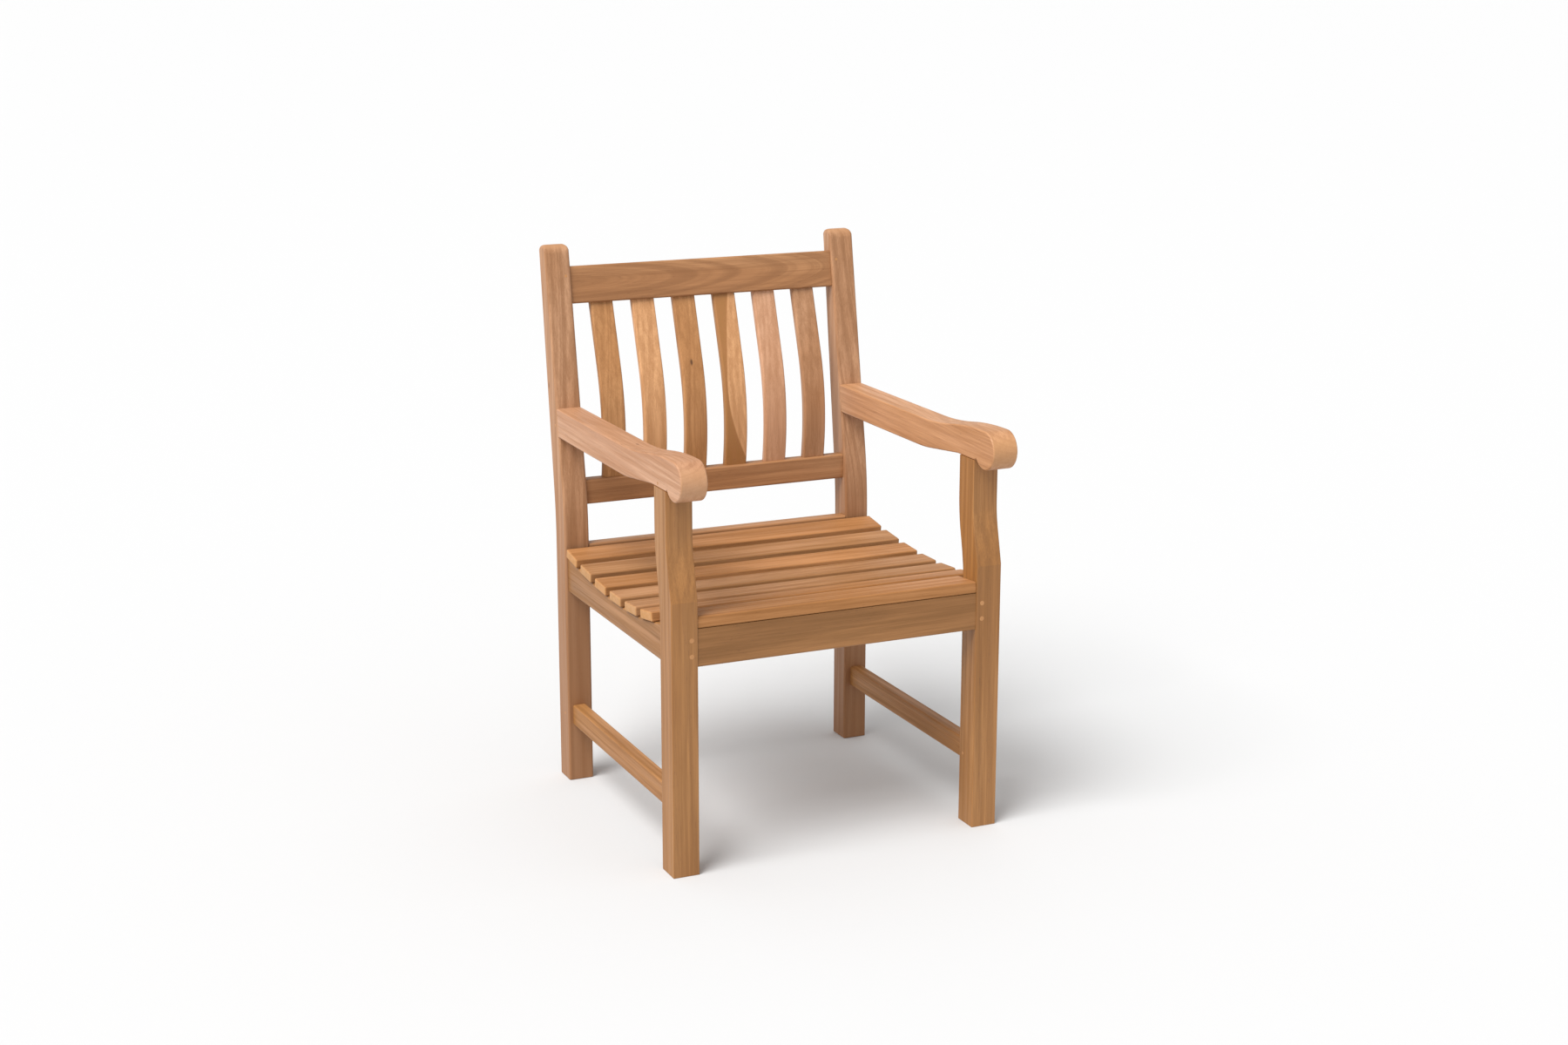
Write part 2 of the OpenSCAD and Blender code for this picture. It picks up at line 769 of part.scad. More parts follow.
module back_slat(i) {
    color(teak_light) {
        side_view(back_slat_x(i) - back_slat_w / 2, back_slat_w)
            intersection() {
                slat_strip(0, back_slat_t);
                between_back_rails(0);
            }
        back_slat_tenons(i, 0);
    }
}

// Seat slat i, counted from the back, resting on the dished side rails
module seat_slat(i) {
    front = [slat_y(i) - slat_w / 2, rail_top(slat_y(i) - slat_w / 2)];
    rear = [slat_y(i) + slat_w / 2, rail_top(slat_y(i) + slat_w / 2)];
    along = unit(rear - front);
    up = slat_t * [-along[1], along[0]];
    color(teak_light)
        difference() {
            side_view(-half_w, chair_w)
                polygon([front, rear, rear + up, front + up]);
            for (side = [-1, 1])
                on_side(side)
                    side_slat_dowels(peg_fit);
        }
}

module front_seat_slat() {
    color(teak_light)
        difference() {
            translate([-leg_in + slat_end_gap, front_rail_y - origin_y, front_rail_top])
                rotate([-front_slat_slope, 0, 0])
                    cube([rail_span - 2 * slat_end_gap, front_slat_w, front_slat_t]);
            front_slat_dowels(peg_fit);
        }
}

// Blind dowels between the left side rail and the seat slats
module side_slat_dowels(gap) {
    for (i = [1:slat_n])
        peg(
            [-side_rail_x - rail_t / 2, slat_y(i), rail_top(slat_y(i)) + slat_t * slat_dowel_up + gap],
            [180, 0, 0],
            dowel_dia + 2 * gap,
            dowel_l + 2 * gap
        );
}

// Blind dowels between the front seat rail and the front slat
module front_slat_dowels(gap) {
    for (x = [-1, 0, 1] * rail_span * front_dowel_out)
        peg(
            [x, front_rail_y + rail_t / 2, front_rail_top + front_slat_t * front_dowel_up + gap],
            [180, 0, 0],
            dowel_dia + 2 * gap,
            dowel_l + 2 * gap
        );
}

module joint_pegs() {
    color(teak_peg)
        for (side = [-1, 1])
            on_side(side) {
                front_leg_pegs(0);
                rear_post_pegs(0);
            }
}

module joint_pins() {
    color(teak_peg)
        for (side = [-1, 1])
            on_side(side) {
                front_leg_pins(0);
                rear_post_pins(0);
            }
}

module slat_dowels() {
    color(teak_hidden) {
        for (side = [-1, 1])
            on_side(side)
                side_slat_dowels(0);
        front_slat_dowels(0);
    }
}

front_leg(-1);  // front_leg_left
front_leg(1);  // front_leg_right
rear_post(-1);  // rear_post_left
rear_post(1);  // rear_post_right
arm(-1);  // arm_left
arm(1);  // arm_right
front_seat_rail();
rear_seat_rail();
side_seat_rail(-1);  // side_seat_rail_left
side_seat_rail(1);  // side_seat_rail_right
side_stretcher(-1);  // side_stretcher_left
side_stretcher(1);  // side_stretcher_right
top_back_rail();
lower_back_rail();
back_slat(1);  // back_slat_1
back_slat(2);  // back_slat_2
back_slat(3);  // back_slat_3
back_slat(4);  // back_slat_4
back_slat(5);  // back_slat_5
back_slat(6);  // back_slat_6
front_seat_slat();
seat_slat(1);  // seat_slat_1
seat_slat(2);  // seat_slat_2
seat_slat(3);  // seat_slat_3
seat_slat(4);  // seat_slat_4
seat_slat(5);  // seat_slat_5
seat_slat(6);  // seat_slat_6
joint_pegs();
joint_pins();
slat_dowels();
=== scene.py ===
"""Teak garden armchair: the looks of each wooden piece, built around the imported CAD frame.

Sizes are in millimetres in the classes, and become metres when a piece is drawn. Lengths along the
chair are measured backwards from the front faces of the front legs, and heights from the floor.
"""

import logging
import math
from collections.abc import Callable, Iterator, Sequence
from contextlib import contextmanager
from dataclasses import dataclass
from enum import Enum

import bmesh
import bpy
from mathutils import Euler, Matrix, Vector

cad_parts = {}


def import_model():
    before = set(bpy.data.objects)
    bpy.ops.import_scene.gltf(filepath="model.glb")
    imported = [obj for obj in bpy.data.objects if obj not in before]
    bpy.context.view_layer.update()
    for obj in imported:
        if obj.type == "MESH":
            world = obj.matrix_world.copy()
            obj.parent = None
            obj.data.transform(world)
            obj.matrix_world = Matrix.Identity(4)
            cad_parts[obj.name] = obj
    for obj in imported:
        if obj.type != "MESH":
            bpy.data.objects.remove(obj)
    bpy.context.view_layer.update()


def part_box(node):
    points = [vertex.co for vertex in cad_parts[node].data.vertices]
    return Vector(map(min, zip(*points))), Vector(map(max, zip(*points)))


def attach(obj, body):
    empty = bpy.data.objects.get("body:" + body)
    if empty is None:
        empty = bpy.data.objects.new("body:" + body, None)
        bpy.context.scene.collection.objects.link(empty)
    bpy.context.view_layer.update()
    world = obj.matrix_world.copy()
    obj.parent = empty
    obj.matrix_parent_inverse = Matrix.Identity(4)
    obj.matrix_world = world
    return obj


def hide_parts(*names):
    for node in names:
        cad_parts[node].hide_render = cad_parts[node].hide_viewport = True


LOG = logging.getLogger("armchair")
MM = 0.001
SHARP_EDGE = math.radians(35)
SMOOTH_EDGE = math.radians(40)
ALONG = 0.9  # least part of an edge's direction along an axis that it runs along
EASED_FACES = 3  # faces in an eased edge
ROUNDED_FACES = 5  # faces in a rounded edge
SANDED = 0.15  # millimetres that sanding takes off each face
FRAME_SLOT = "teak_frame"
SLAT_SLOT = "teak_slats"

Piece = bpy.types.Object
Socket = bpy.types.NodeSocket
Pair = tuple[float, float]
Point = Pair  # length along the chair and height
Triple = tuple[float, float, float]
Corner = Triple  # length along the chair, height and radius
Colour = Triple
EdgeTest = Callable[[Vector, Vector], bool]
EdgeRadius = Callable[[Vector, Vector], float]


# --- Places taken from the frame ---


@dataclass(frozen=True)
class Datum:
    """Where the chair's own measurements start in the frame.

    Args:
        front: Y of the front legs' front faces, in metres.
        half_width: half of the width over the legs, in millimetres.
    """

    front: float
    half_width: float

    @classmethod
    def from_frame(cls) -> "Datum":
        """Read the datum from the CAD nodes.

        Returns:
            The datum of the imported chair.
        """
        low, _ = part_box("front_leg_left")
        return cls(front=low.y, half_width=-low.x / MM)

    def place(self, x: float, y: float, z: float) -> Vector:
        """Turn a chair point in millimetres into a frame point in metres."""
        return Vector((x * MM, self.front + y * MM, z * MM))


class Side(Enum):
    """Left and right, as seen by someone facing the front of the chair."""

    LEFT = "left"
    RIGHT = "right"


class Grain(Enum):
    """Direction in which the fibres of a piece run."""

    ACROSS = (0.0, 0.0, 0.0)
    FRONT_TO_BACK = (0.0, 0.0, -math.pi / 2)
    UPRIGHT = (0.0, math.pi / 2, 0.0)


# --- Drawing outlines ---


def on_arc(centre: Vector, radius: float, angle: float) -> Point:
    """Give the point of a circle at an angle in degrees."""
    turn = math.radians(angle)
    return (centre.x + radius * math.cos(turn), centre.y + radius * math.sin(turn))


def round_corner(before: Vector, corner: Vector, after: Vector, radius: float) -> list[Point]:
    """Round one corner of a path.

    Args:
        before: the point before the corner.
        corner: the corner.
        after: the point after the corner.
        radius: the rounding's radius.

    Returns:
        The points of the arc that takes the corner's place.
    """
    first = (before - corner).normalized()
    second = (after - corner).normalized()
    half = math.acos(max(-1.0, min(1.0, first.dot(second)))) / 2
    centre = corner + (first + second).normalized() * radius / math.sin(half)
    start = corner + first * radius / math.tan(half) - centre
    begin = math.degrees(math.atan2(start.y, start.x))
    sweep = 180 - 2 * math.degrees(half)
    cross = first.x * second.y - first.y * second.x
    turn = sweep if cross < 0 else -sweep
    steps = max(3, math.ceil(sweep / 6), math.ceil(radius * math.radians(sweep) / 16))
    return [on_arc(centre, radius, begin + turn * i / steps) for i in range(steps + 1)]


def rounded(path: Sequence[Corner]) -> list[Point]:
    """Draw a closed path through corners, each with its own radius.

    Args:
        path: corners as length along the chair, height and radius; 0 keeps a corner sharp.

    Returns:
        The outline's points.
    """
    points: list[Point] = []
    count = len(path)
    for i, (y, z, radius) in enumerate(path):
        if radius == 0:
            points.append((y, z))
            continue
        before = Vector(path[i - 1][:2])
        after = Vector(path[(i + 1) % count][:2])
        points += round_corner(before, Vector((y, z)), after, radius)
    return points


# --- Working a piece ---


def put_down() -> None:
    """Deselect everything."""
    bpy.ops.object.select_all(action="DESELECT")


def pick_up(piece: Piece) -> None:
    """Select one piece and make it active."""
    put_down()
    piece.select_set(True)
    bpy.context.view_layer.objects.active = piece


@contextmanager
def editing(piece: Piece) -> Iterator[None]:
    """Open a piece in edit mode with all of it selected, and close it afterwards.

    Args:
        piece: the piece to edit.

    Yields:
        Nothing, while the piece is open.
    """
    pick_up(piece)
    bpy.ops.object.mode_set(mode="EDIT")
    bpy.ops.mesh.select_all(action="SELECT")
    yield
    bpy.ops.object.mode_set(mode="OBJECT")


@contextmanager
def picking_edges(piece: Piece) -> Iterator[bmesh.types.BMesh]:
    """Open a piece in edit mode with none of it selected, and close it afterwards.

    Args:
        piece: the piece whose edges are picked.

    Yields:
        The piece's open mesh.
    """
    with editing(piece):
        bpy.ops.mesh.select_mode(type="EDGE")
        bpy.ops.mesh.select_all(action="DESELECT")
        yield bmesh.from_edit_mesh(piece.data)


def sharp_edges(mesh: bmesh.types.BMesh) -> Iterator[tuple[bmesh.types.BMEdge, Vector, Vector]]:
    """Go through a mesh's sharp edges.

    Args:
        mesh: the mesh.

    Yields:
        An edge, its middle and its direction.
    """
    for edge in mesh.edges:
        if edge.calc_face_angle(0.0) >= SHARP_EDGE:
            first, second = (vertex.co for vertex in edge.verts)
            yield edge, (first + second) / 2, (second - first).normalized()


def runs_along(axis: int) -> EdgeTest:
    """Make a test for edges that run along an axis of the frame."""
    return lambda middle, direction: abs(direction[axis]) > ALONG


def ease(piece: Piece, radius: float, wanted: EdgeTest) -> None:
    """Round a piece's sharp edges over, as with a router and sandpaper.

    Args:
        piece: the piece to work on.
        radius: the rounding in millimetres.
        wanted: says whether an edge with this middle and direction is rounded.
    """
    with picking_edges(piece) as mesh:
        for edge, middle, direction in sharp_edges(mesh):
            edge.select_set(wanted(middle, direction))
        bmesh.update_edit_mesh(piece.data)
        bpy.ops.mesh.bevel(
            offset_type="OFFSET",
            offset=radius * MM,
            segments=EASED_FACES,
            profile=0.5,
            affect="EDGES",
            clamp_overlap=True,
        )


def round_over(piece: Piece, radius_at: EdgeRadius) -> None:
    """Round a piece's sharp edges over, each by its own radius.

    Args:
        piece: the piece to work on.
        radius_at: the radius in millimetres for an edge with this middle and direction, or 0.
    """
    pick_up(piece)
    mesh = bmesh.new()
    mesh.from_mesh(piece.data)
    weights = mesh.edges.layers.float.new("bevel_weight_edge")
    radii = {edge: radius_at(middle, direction) for edge, middle, direction in sharp_edges(mesh)}
    largest = max(radii.values())
    for edge, radius in radii.items():
        edge[weights] = radius / largest
    mesh.to_mesh(piece.data)
    mesh.free()
    router = piece.modifiers.new("router", "BEVEL")
    router.limit_method = "WEIGHT"
    router.width = largest * MM
    router.segments = ROUNDED_FACES
    bpy.ops.object.modifier_apply(modifier=router.name)


def crease(piece: Piece, height: float) -> None:
    """Keep the shading crisp along a crease that runs across a piece.

    Args:
        piece: the piece to work on.
        height: the crease's height in millimetres.
    """
    with picking_edges(piece) as mesh:
        for edge in mesh.edges:
            edge.select_set(all(abs(v.co.z - height * MM) < MM / 2 for v in edge.verts))
        bmesh.update_edit_mesh(piece.data)
        bpy.ops.mesh.mark_sharp()


def label_piece(piece: Piece, name: str) -> None:
    """Name a piece and its mesh."""
    piece.name = name
    piece.data.name = name


def draw_outline(name: str, points: Sequence[Vector], width: float) -> Piece:
    """Draw a side outline point by point, fill it and give it its width across the chair.

    Args:
        name: the piece's name.
        points: the outline in the frame, in metres, at the piece's low X.
        width: the piece's width across the chair in metres.

    Returns:
        The solid piece.
    """
    put_down()
    bpy.ops.mesh.primitive_plane_add(size=0.01)
    piece = bpy.context.object
    label_piece(piece, name)
    bpy.ops.object.mode_set(mode="EDIT")
    bpy.ops.mesh.select_mode(type="VERT")
    bpy.ops.mesh.select_all(action="SELECT")
    bpy.ops.mesh.merge(type="CENTER")
    bpy.ops.transform.translate(value=points[0])
    for here, there in zip(points, points[1:]):
        bpy.ops.mesh.extrude_vertices_move(TRANSFORM_OT_translate={"value": there - here})
    mesh = bmesh.from_edit_mesh(piece.data)
    for vertex in mesh.verts:
        vertex.select_set(len(vertex.link_edges) == 1)
    bmesh.update_edit_mesh(piece.data)
    bpy.ops.mesh.edge_face_add()
    bpy.ops.mesh.select_all(action="SELECT")
    bpy.ops.mesh.edge_face_add()
    bpy.ops.mesh.extrude_region_move(TRANSFORM_OT_translate={"value": (width, 0, 0)})
    bpy.ops.mesh.select_all(action="SELECT")
    bpy.ops.mesh.normals_make_consistent(inside=False)
    bpy.ops.object.mode_set(mode="OBJECT")
    return piece


def saw_board(
    name: str, size: Triple, centre: Vector, tilt: float = 0.0
) -> Piece:
    """Saw a straight board to size and set it at its place.

    Args:
        name: the piece's name.
        size: length across the chair, length along it and height, in millimetres.
        centre: the board's middle in the frame, in metres.
        tilt: how far the board is turned, front edge up, in radians.

    Returns:
        The board.
    """
    put_down()
    bpy.ops.mesh.primitive_cube_add(size=1)
    piece = bpy.context.object
    label_piece(piece, name)
    with editing(piece):
        bpy.ops.transform.resize(value=[length * MM for length in size])
        if tilt:
            bpy.ops.transform.rotate(value=tilt, orient_axis="X", center_override=(0, 0, 0))
        bpy.ops.transform.translate(value=centre)
    return piece


def copy_piece(piece: Piece, name: str, aside: float = 0.0) -> Piece:
    """Copy a piece with a mesh of its own.

    Args:
        piece: the piece to copy.
        name: the copy's name.
        aside: how far the copy is moved along X, in metres.

    Returns:
        The copy.
    """
    pick_up(piece)
    bpy.ops.object.duplicate()
    copy = bpy.context.object
    label_piece(copy, name)
    with editing(copy):
        bpy.ops.transform.translate(value=(aside, 0, 0))
    return copy


def mirror_piece(piece: Piece, name: str) -> Piece:
    """Make the right-hand copy of a left-hand piece.

    Args:
        piece: the left-hand piece.
        name: the copy's name.

    Returns:
        The right-hand piece.
    """
    copy = copy_piece(piece, name)
    with editing(copy):
        bpy.ops.transform.resize(value=(-1, 1, 1), center_override=(0, 0, 0))
        bpy.ops.mesh.normals_make_consistent(inside=False)
    return copy


def sand(piece: Piece) -> None:
    """Take the sanding allowance off all faces and smooth the shading of the roundings.

    Args:
        piece: the piece to finish.
    """
    with editing(piece):
        bpy.ops.transform.shrink_fatten(value=-SANDED * MM, use_even_offset=True)
    bpy.ops.object.shade_smooth_by_angle(angle=SMOOTH_EDGE)
    smoothing = piece.modifiers.new("even_shading", "WEIGHTED_NORMAL")
    smoothing.keep_sharp = True
    bpy.ops.object.modifier_apply(modifier=smoothing.name)


def dress(piece: Piece, finish: bpy.types.Material) -> None:
    """Give a piece one material."""
    piece.data.materials.clear()
    piece.data.materials.append(finish)


def fit_piece(piece: Piece, node: str, slot: str, finish: bpy.types.Material) -> None:
    """Put a finished piece in its CAD node's place.

    Args:
        piece: the finished piece.
        node: the CAD node that it stands for.
        slot: not used.
        finish: the piece's material.
    """
    dress(piece, finish)
    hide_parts(node)
    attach(piece, "root")
    corners = [vertex.co / MM for vertex in piece.data.vertices]
    low, high = ([round(f(c[i] for c in corners), 1) for i in range(3)] for f in (min, max))
    LOG.info("%s: %d faces, %s to %s mm", piece.name, len(piece.data.polygons), low, high)


# --- Teak ---


class Wiring:
    """Places and links shader nodes in one node tree."""

    def __init__(self, tree: bpy.types.NodeTree) -> None:
        """Work on a tree.

        Args:
            tree: the material's or group's node tree.
        """
        self.tree = tree

    def node(
        self, kind: str, feeds: dict[str, object] | None = None, **settings: object
    ) -> bpy.types.Node:
        """Add a node, set its options and feed its inputs.

        Args:
            kind: the node's type.
            feeds: sockets or values for its inputs by name.
            settings: its options by name.

        Returns:
            The node.
        """
        made = self.tree.nodes.new(kind)
        for name, value in settings.items():
            setattr(made, name, value)
        for label, value in (feeds or {}).items():
            self.feed(made.inputs[label], value)
        return made

    def feed(self, socket: Socket, value: object) -> None:
        """Link a socket to another, or set its value.

        Args:
            socket: the input to feed.
            value: an output socket, or a value.
        """
        if isinstance(value, Socket):
            self.tree.links.new(value, socket)
        else:
            socket.default_value = value

    def fill(self, made: bpy.types.Node, values: Sequence[object]) -> bpy.types.Node:
        """Feed a node's inputs in their order.

        Args:
            made: the node.
            values: sockets or values for its first inputs.

        Returns:
            The node.
        """
        for socket, value in zip(made.inputs, values):
            self.feed(socket, value)
        return made

    def math(self, operation: str, *values: object) -> Socket:
        """Add a Math node and return its result."""
        return self.fill(self.node("ShaderNodeMath", operation=operation), values).outputs[0]

    def vector(self, operation: str, *values: object) -> Socket:
        """Add a Vector Math node.

        Args:
            operation: what it works out.
            values: its inputs, sockets or vectors.

        Returns:
            The node's vector, or its number for a dot product.
        """
        made = self.fill(self.node("ShaderNodeVectorMath", operation=operation), values)
        return made.outputs["Value" if operation == "DOT_PRODUCT" else "Vector"]

    def noise(self, place: object, detail: float, roughness: float, size: str = "3D") -> Socket:
        """Add a Noise texture of scale 1 and return its value.

        Args:
            place: where the noise is read, a vector, or a number for one dimension.
            detail: how many finer octaves it has.
            roughness: how strong they are.
            size: the number of dimensions.

        Returns:
            The noise's value.
        """
        feeds = {"Scale": 1.0, "Detail": detail, "Roughness": roughness}
        feeds["W" if size == "1D" else "Vector"] = place
        return self.node("ShaderNodeTexNoise", feeds, noise_dimensions=size).outputs[0]

    def spread(
        self, value: object, low: float, high: float, to_low: float = 0.0, to_high: float = 1.0
    ) -> Socket:
        """Spread a range of a value smoothly over another range.

        Args:
            value: the value.
            low: start of its range.
            high: end of its range.
            to_low: what the start becomes.
            to_high: what the end becomes.

        Returns:
            The spread value.
        """
        made = self.node("ShaderNodeMapRange", interpolation_type="SMOOTHSTEP")
        return self.fill(made, (value, low, high, to_low, to_high)).outputs[0]

    def mix(self, factor: object, first: object, second: object) -> Socket:
        """Mix two colours.

        Args:
            factor: how much of the second colour there is.
            first: a colour.
            second: another colour.

        Returns:
            The mixed colour.
        """
        made = self.node("ShaderNodeMix", data_type="RGBA")
        for index, value in ((0, factor), (6, first), (7, second)):
            self.feed(made.inputs[index], value)
        return made.outputs[2]


def new_group(
    name: str, inputs: dict[str, float | Triple], outputs: Sequence[str]
) -> tuple[bpy.types.NodeTree, bpy.types.Node, bpy.types.Node]:
    """Make an empty shader node group with named sockets.

    Args:
        name: the group's name.
        inputs: socket names with their default values, numbers or vectors.
        outputs: names of the number outputs.

    Returns:
        The group, its input node and its output node.
    """
    tree = bpy.data.node_groups.new(name, "ShaderNodeTree")
    for label, value in inputs.items():
        kind = "NodeSocketVector" if isinstance(value, tuple) else "NodeSocketFloat"
        socket = tree.interface.new_socket(label, in_out="INPUT", socket_type=kind)
        socket.default_value = value
    for label in outputs:
        tree.interface.new_socket(label, in_out="OUTPUT", socket_type="NodeSocketFloat")
    return tree, tree.nodes.new("NodeGroupInput"), tree.nodes.new("NodeGroupOutput")


@dataclass(frozen=True)
class Mark:
    """One kind of mark in the wood, drawn from noise.

    Args:
        stretch: the noise's scales along the fibres and both ways across them.
        detail: how many finer octaves it has.
        roughness: how strong they are.
        edges: the values where the mark starts and is full, or None to leave it soft.
    """

    stretch: Triple
    detail: float
    roughness: float = 0.5
    edges: Pair | None = None

    def draw(self, w: Wiring, place: Socket) -> Socket:
        """Draw the mark.

        Args:
            w: the wiring of the tree that it is drawn in.
            place: where it is read.

        Returns:
            How strong the mark is.
        """
        value = w.noise(w.vector("MULTIPLY", place, self.stretch), self.detail, self.roughness)
        return w.spread(value, *self.edges) if self.edges else value


class Marks(Enum):
    """The marks that make up the figure of a board, apart from its rings and knots."""

    WANDER = Mark((2.2, 9.0, 9.0), 2.0)
    STREAKS = Mark((2.4, 120.0, 120.0), 5.0, 0.65, (0.38, 0.64))
    PATCHES = Mark((2.4, 15.0, 15.0), 2.0, edges=(0.34, 0.66))
    FIBRES = Mark((14.0, 900.0, 900.0), 3.0, 0.6)
    PORES = Mark((75.0, 1500.0, 1500.0), 1.0, edges=(0.66, 0.76))


SEED_SHIFT = (3.7, 5.3, 7.9)  # how far one step of the seed moves a board in the noise
RING_EDGES = (0.38, 0.64)
KNOT_SPACING = (5.0, 14.0, 14.0)  # knots in a metre along the fibres and across them
KNOT_EDGES = (0.05, 0.02)
PORE_CROWDING = (0.1, 0.9, 0.35, 1.0)  # from few pores between the rings to many on them
END_GRAIN_EDGES = (0.55, 0.9)


class TeakGroups:
    """The shader groups that every teak finish shares."""

    def __init__(self) -> None:
        """Build the groups once."""
        self.figure = self._figure()
        self.end_grain = self._end_grain()

    def _figure(self) -> bpy.types.NodeTree:
        """Build the figure of a sawn board whose fibres run along X.

        Returns:
            The group: growth rings, long streaks, broad patches, fibres, pores and knots, and
            the distance from the pith.
        """
        tree, given, out = new_group(
            "teak_figure",
            {
                "Vector": (0.0, 0.0, 0.0),
                "Seed": 0.0,
                "Pith": (0.0, 0.08, 0.12),
                "Taper": 0.02,
                "Bow": 0.0,
                "Ring Width": 0.007,
                "Warp": 0.008,
            },
            ("Rings", "Streaks", "Patches", "Fibres", "Pores", "Knots", "Heart"),
        )
        w = Wiring(tree)
        place = given.outputs["Vector"]
        feeds = {"Vector": SEED_SHIFT, "Scale": given.outputs["Seed"]}
        shift = w.node("ShaderNodeVectorMath", feeds, operation="SCALE").outputs[0]
        moved = w.vector("ADD", place, shift)
        drawn = {mark: mark.value.draw(w, moved) for mark in Marks}
        wander = w.math("SUBTRACT", drawn[Marks.WANDER], 0.5)
        wander = w.math("MULTIPLY", wander, given.outputs["Warp"])
        from_pith = w.vector("SUBTRACT", place, given.outputs["Pith"])
        parts = w.node("ShaderNodeSeparateXYZ", {"Vector": from_pith})
        squares = [w.math("POWER", parts.outputs[i], 2.0) for i in (1, 2)]
        across = w.math("SQRT", w.math("ADD", *squares))
        along = parts.outputs[0]
        lean = w.math("MULTIPLY", along, given.outputs["Taper"])
        bow = w.math("MULTIPLY", w.math("MULTIPLY", along, along), given.outputs["Bow"])
        distance = w.math("ADD", w.math("ADD", across, lean), w.math("ADD", bow, wander))
        count = w.math("DIVIDE", distance, given.outputs["Ring Width"])
        count = w.math("ADD", count, given.outputs["Seed"])
        rings = w.spread(w.noise(count, 4.0, 0.62, size="1D"), *RING_EDGES)
        crowding = w.spread(rings, *PORE_CROWDING)
        pores = w.math("MULTIPLY", drawn[Marks.PORES], crowding)
        feeds = {"Vector": w.vector("MULTIPLY", moved, KNOT_SPACING), "Scale": 1.0}
        cells = w.node("ShaderNodeTexVoronoi", feeds)
        knots = w.spread(cells.outputs["Distance"], *KNOT_EDGES)
        for label, value in (
            ("Rings", rings), ("Streaks", drawn[Marks.STREAKS]), ("Patches", drawn[Marks.PATCHES]),
            ("Fibres", drawn[Marks.FIBRES]), ("Pores", pores), ("Knots", knots), ("Heart", distance),
        ):
            w.feed(out.inputs[label], value)
        return tree

    def _end_grain(self) -> bpy.types.NodeTree:
        """Build the mask of faces that the fibres come out of.

        Returns:
            The group: 1 on end grain and 0 on faces along the fibres.
        """
        tree, given, out = new_group("teak_end_grain", {"Along": (1.0, 0.0, 0.0)}, ("Mask",))
        w = Wiring(tree)
        normal = w.node("ShaderNodeTexCoord").outputs["Normal"]
        facing = w.math("ABSOLUTE", w.vector("DOT_PRODUCT", normal, given.outputs["Along"]))
        w.feed(out.inputs["Mask"], w.spread(facing, *END_GRAIN_EDGES))
        return tree


@dataclass(frozen=True)
class Tone:
    """The colours of one board of teak.

    Args:
        light: the pale wood between the rings.
        mid: the main colour.
        dark: the late wood and the streaks.
        end: the end grain.
    """

    light: Colour
    mid: Colour
    dark: Colour
    end: Colour


def shade_of(red: int, green: int, blue: int) -> Colour:
    """Turn a screen colour into the light values that shaders take.

    Args:
        red: the screen's red, from 0 to 255.
        green: its green.
        blue: its blue.

    Returns:
        The linear colour.
    """
    return tuple(
        (c / 255 / 12.92) if c <= 10 else ((c / 255 + 0.055) / 1.055) ** 2.4
        for c in (red, green, blue)
    )


def tone_of(*screen: tuple[int, int, int]) -> Tone:
    """Make a board's tone from its screen colours: light, mid, dark and end grain."""
    return Tone(*(shade_of(*colour) for colour in screen))


HEARTWOOD = (*shade_of(156, 108, 58), 1.0)
PORE = (*shade_of(96, 58, 32), 1.0)
KNOT = (*shade_of(70, 42, 24), 1.0)
HEART_BLUR = 0.0015  # half the width of the heartwood's boundary, in metres
PAINTED_SHADE_HEIGHTS = (0.62, 0.3)  # where the painted shade on the feet starts, and where it is darkest, in metres
STREAK_SHADE = 0.44
FIBRE_EDGES = (0.36, 0.66)
FIBRE_SHADE = 0.3
END_SHADE = 0.7
PORE_SHADE = 0.55
KNOT_SHADE = 0.8
ROUGHNESS = (0.44, 0.6)
FIBRE_RELIEF = 0.6
RELIEF_STRENGTH = 0.35
RELIEF_HEIGHT = 0.0003  # in metres


class Boards(Enum):
    """The tones of the boards that the chair is made from."""

    HONEY = tone_of((194, 148, 112), (178, 130, 92), (138, 94, 58), (176, 128, 88))
    GOLD = tone_of((180, 128, 76), (164, 112, 60), (124, 80, 36), (166, 114, 66))
    OCHRE = tone_of((174, 122, 68), (158, 106, 52), (118, 76, 32), (160, 108, 60))
    BROWN = tone_of((164, 114, 66), (150, 102, 56), (112, 74, 34), (150, 102, 60))
    AMBER = tone_of((198, 146, 96), (182, 129, 80), (142, 94, 50), (184, 132, 84))
    SAND = tone_of((216, 164, 116), (200, 146, 98), (162, 110, 64), (196, 144, 98))
    PALE = tone_of((216, 170, 138), (200, 152, 118), (166, 116, 78), (196, 148, 108))
    ROSE = tone_of((204, 158, 124), (188, 138, 102), (148, 100, 64), (186, 138, 98))
    WHEAT = tone_of((204, 153, 112), (188, 136, 91), (148, 98, 58), (186, 136, 90))
    TAWNY = tone_of((184, 136, 96), (168, 122, 80), (126, 84, 46), (186, 140, 92))
    RUSSET = tone_of((188, 134, 88), (172, 120, 74), (130, 84, 42), (190, 140, 88))
    UMBER = tone_of((188, 138, 94), (172, 121, 78), (130, 86, 50), (168, 118, 78))


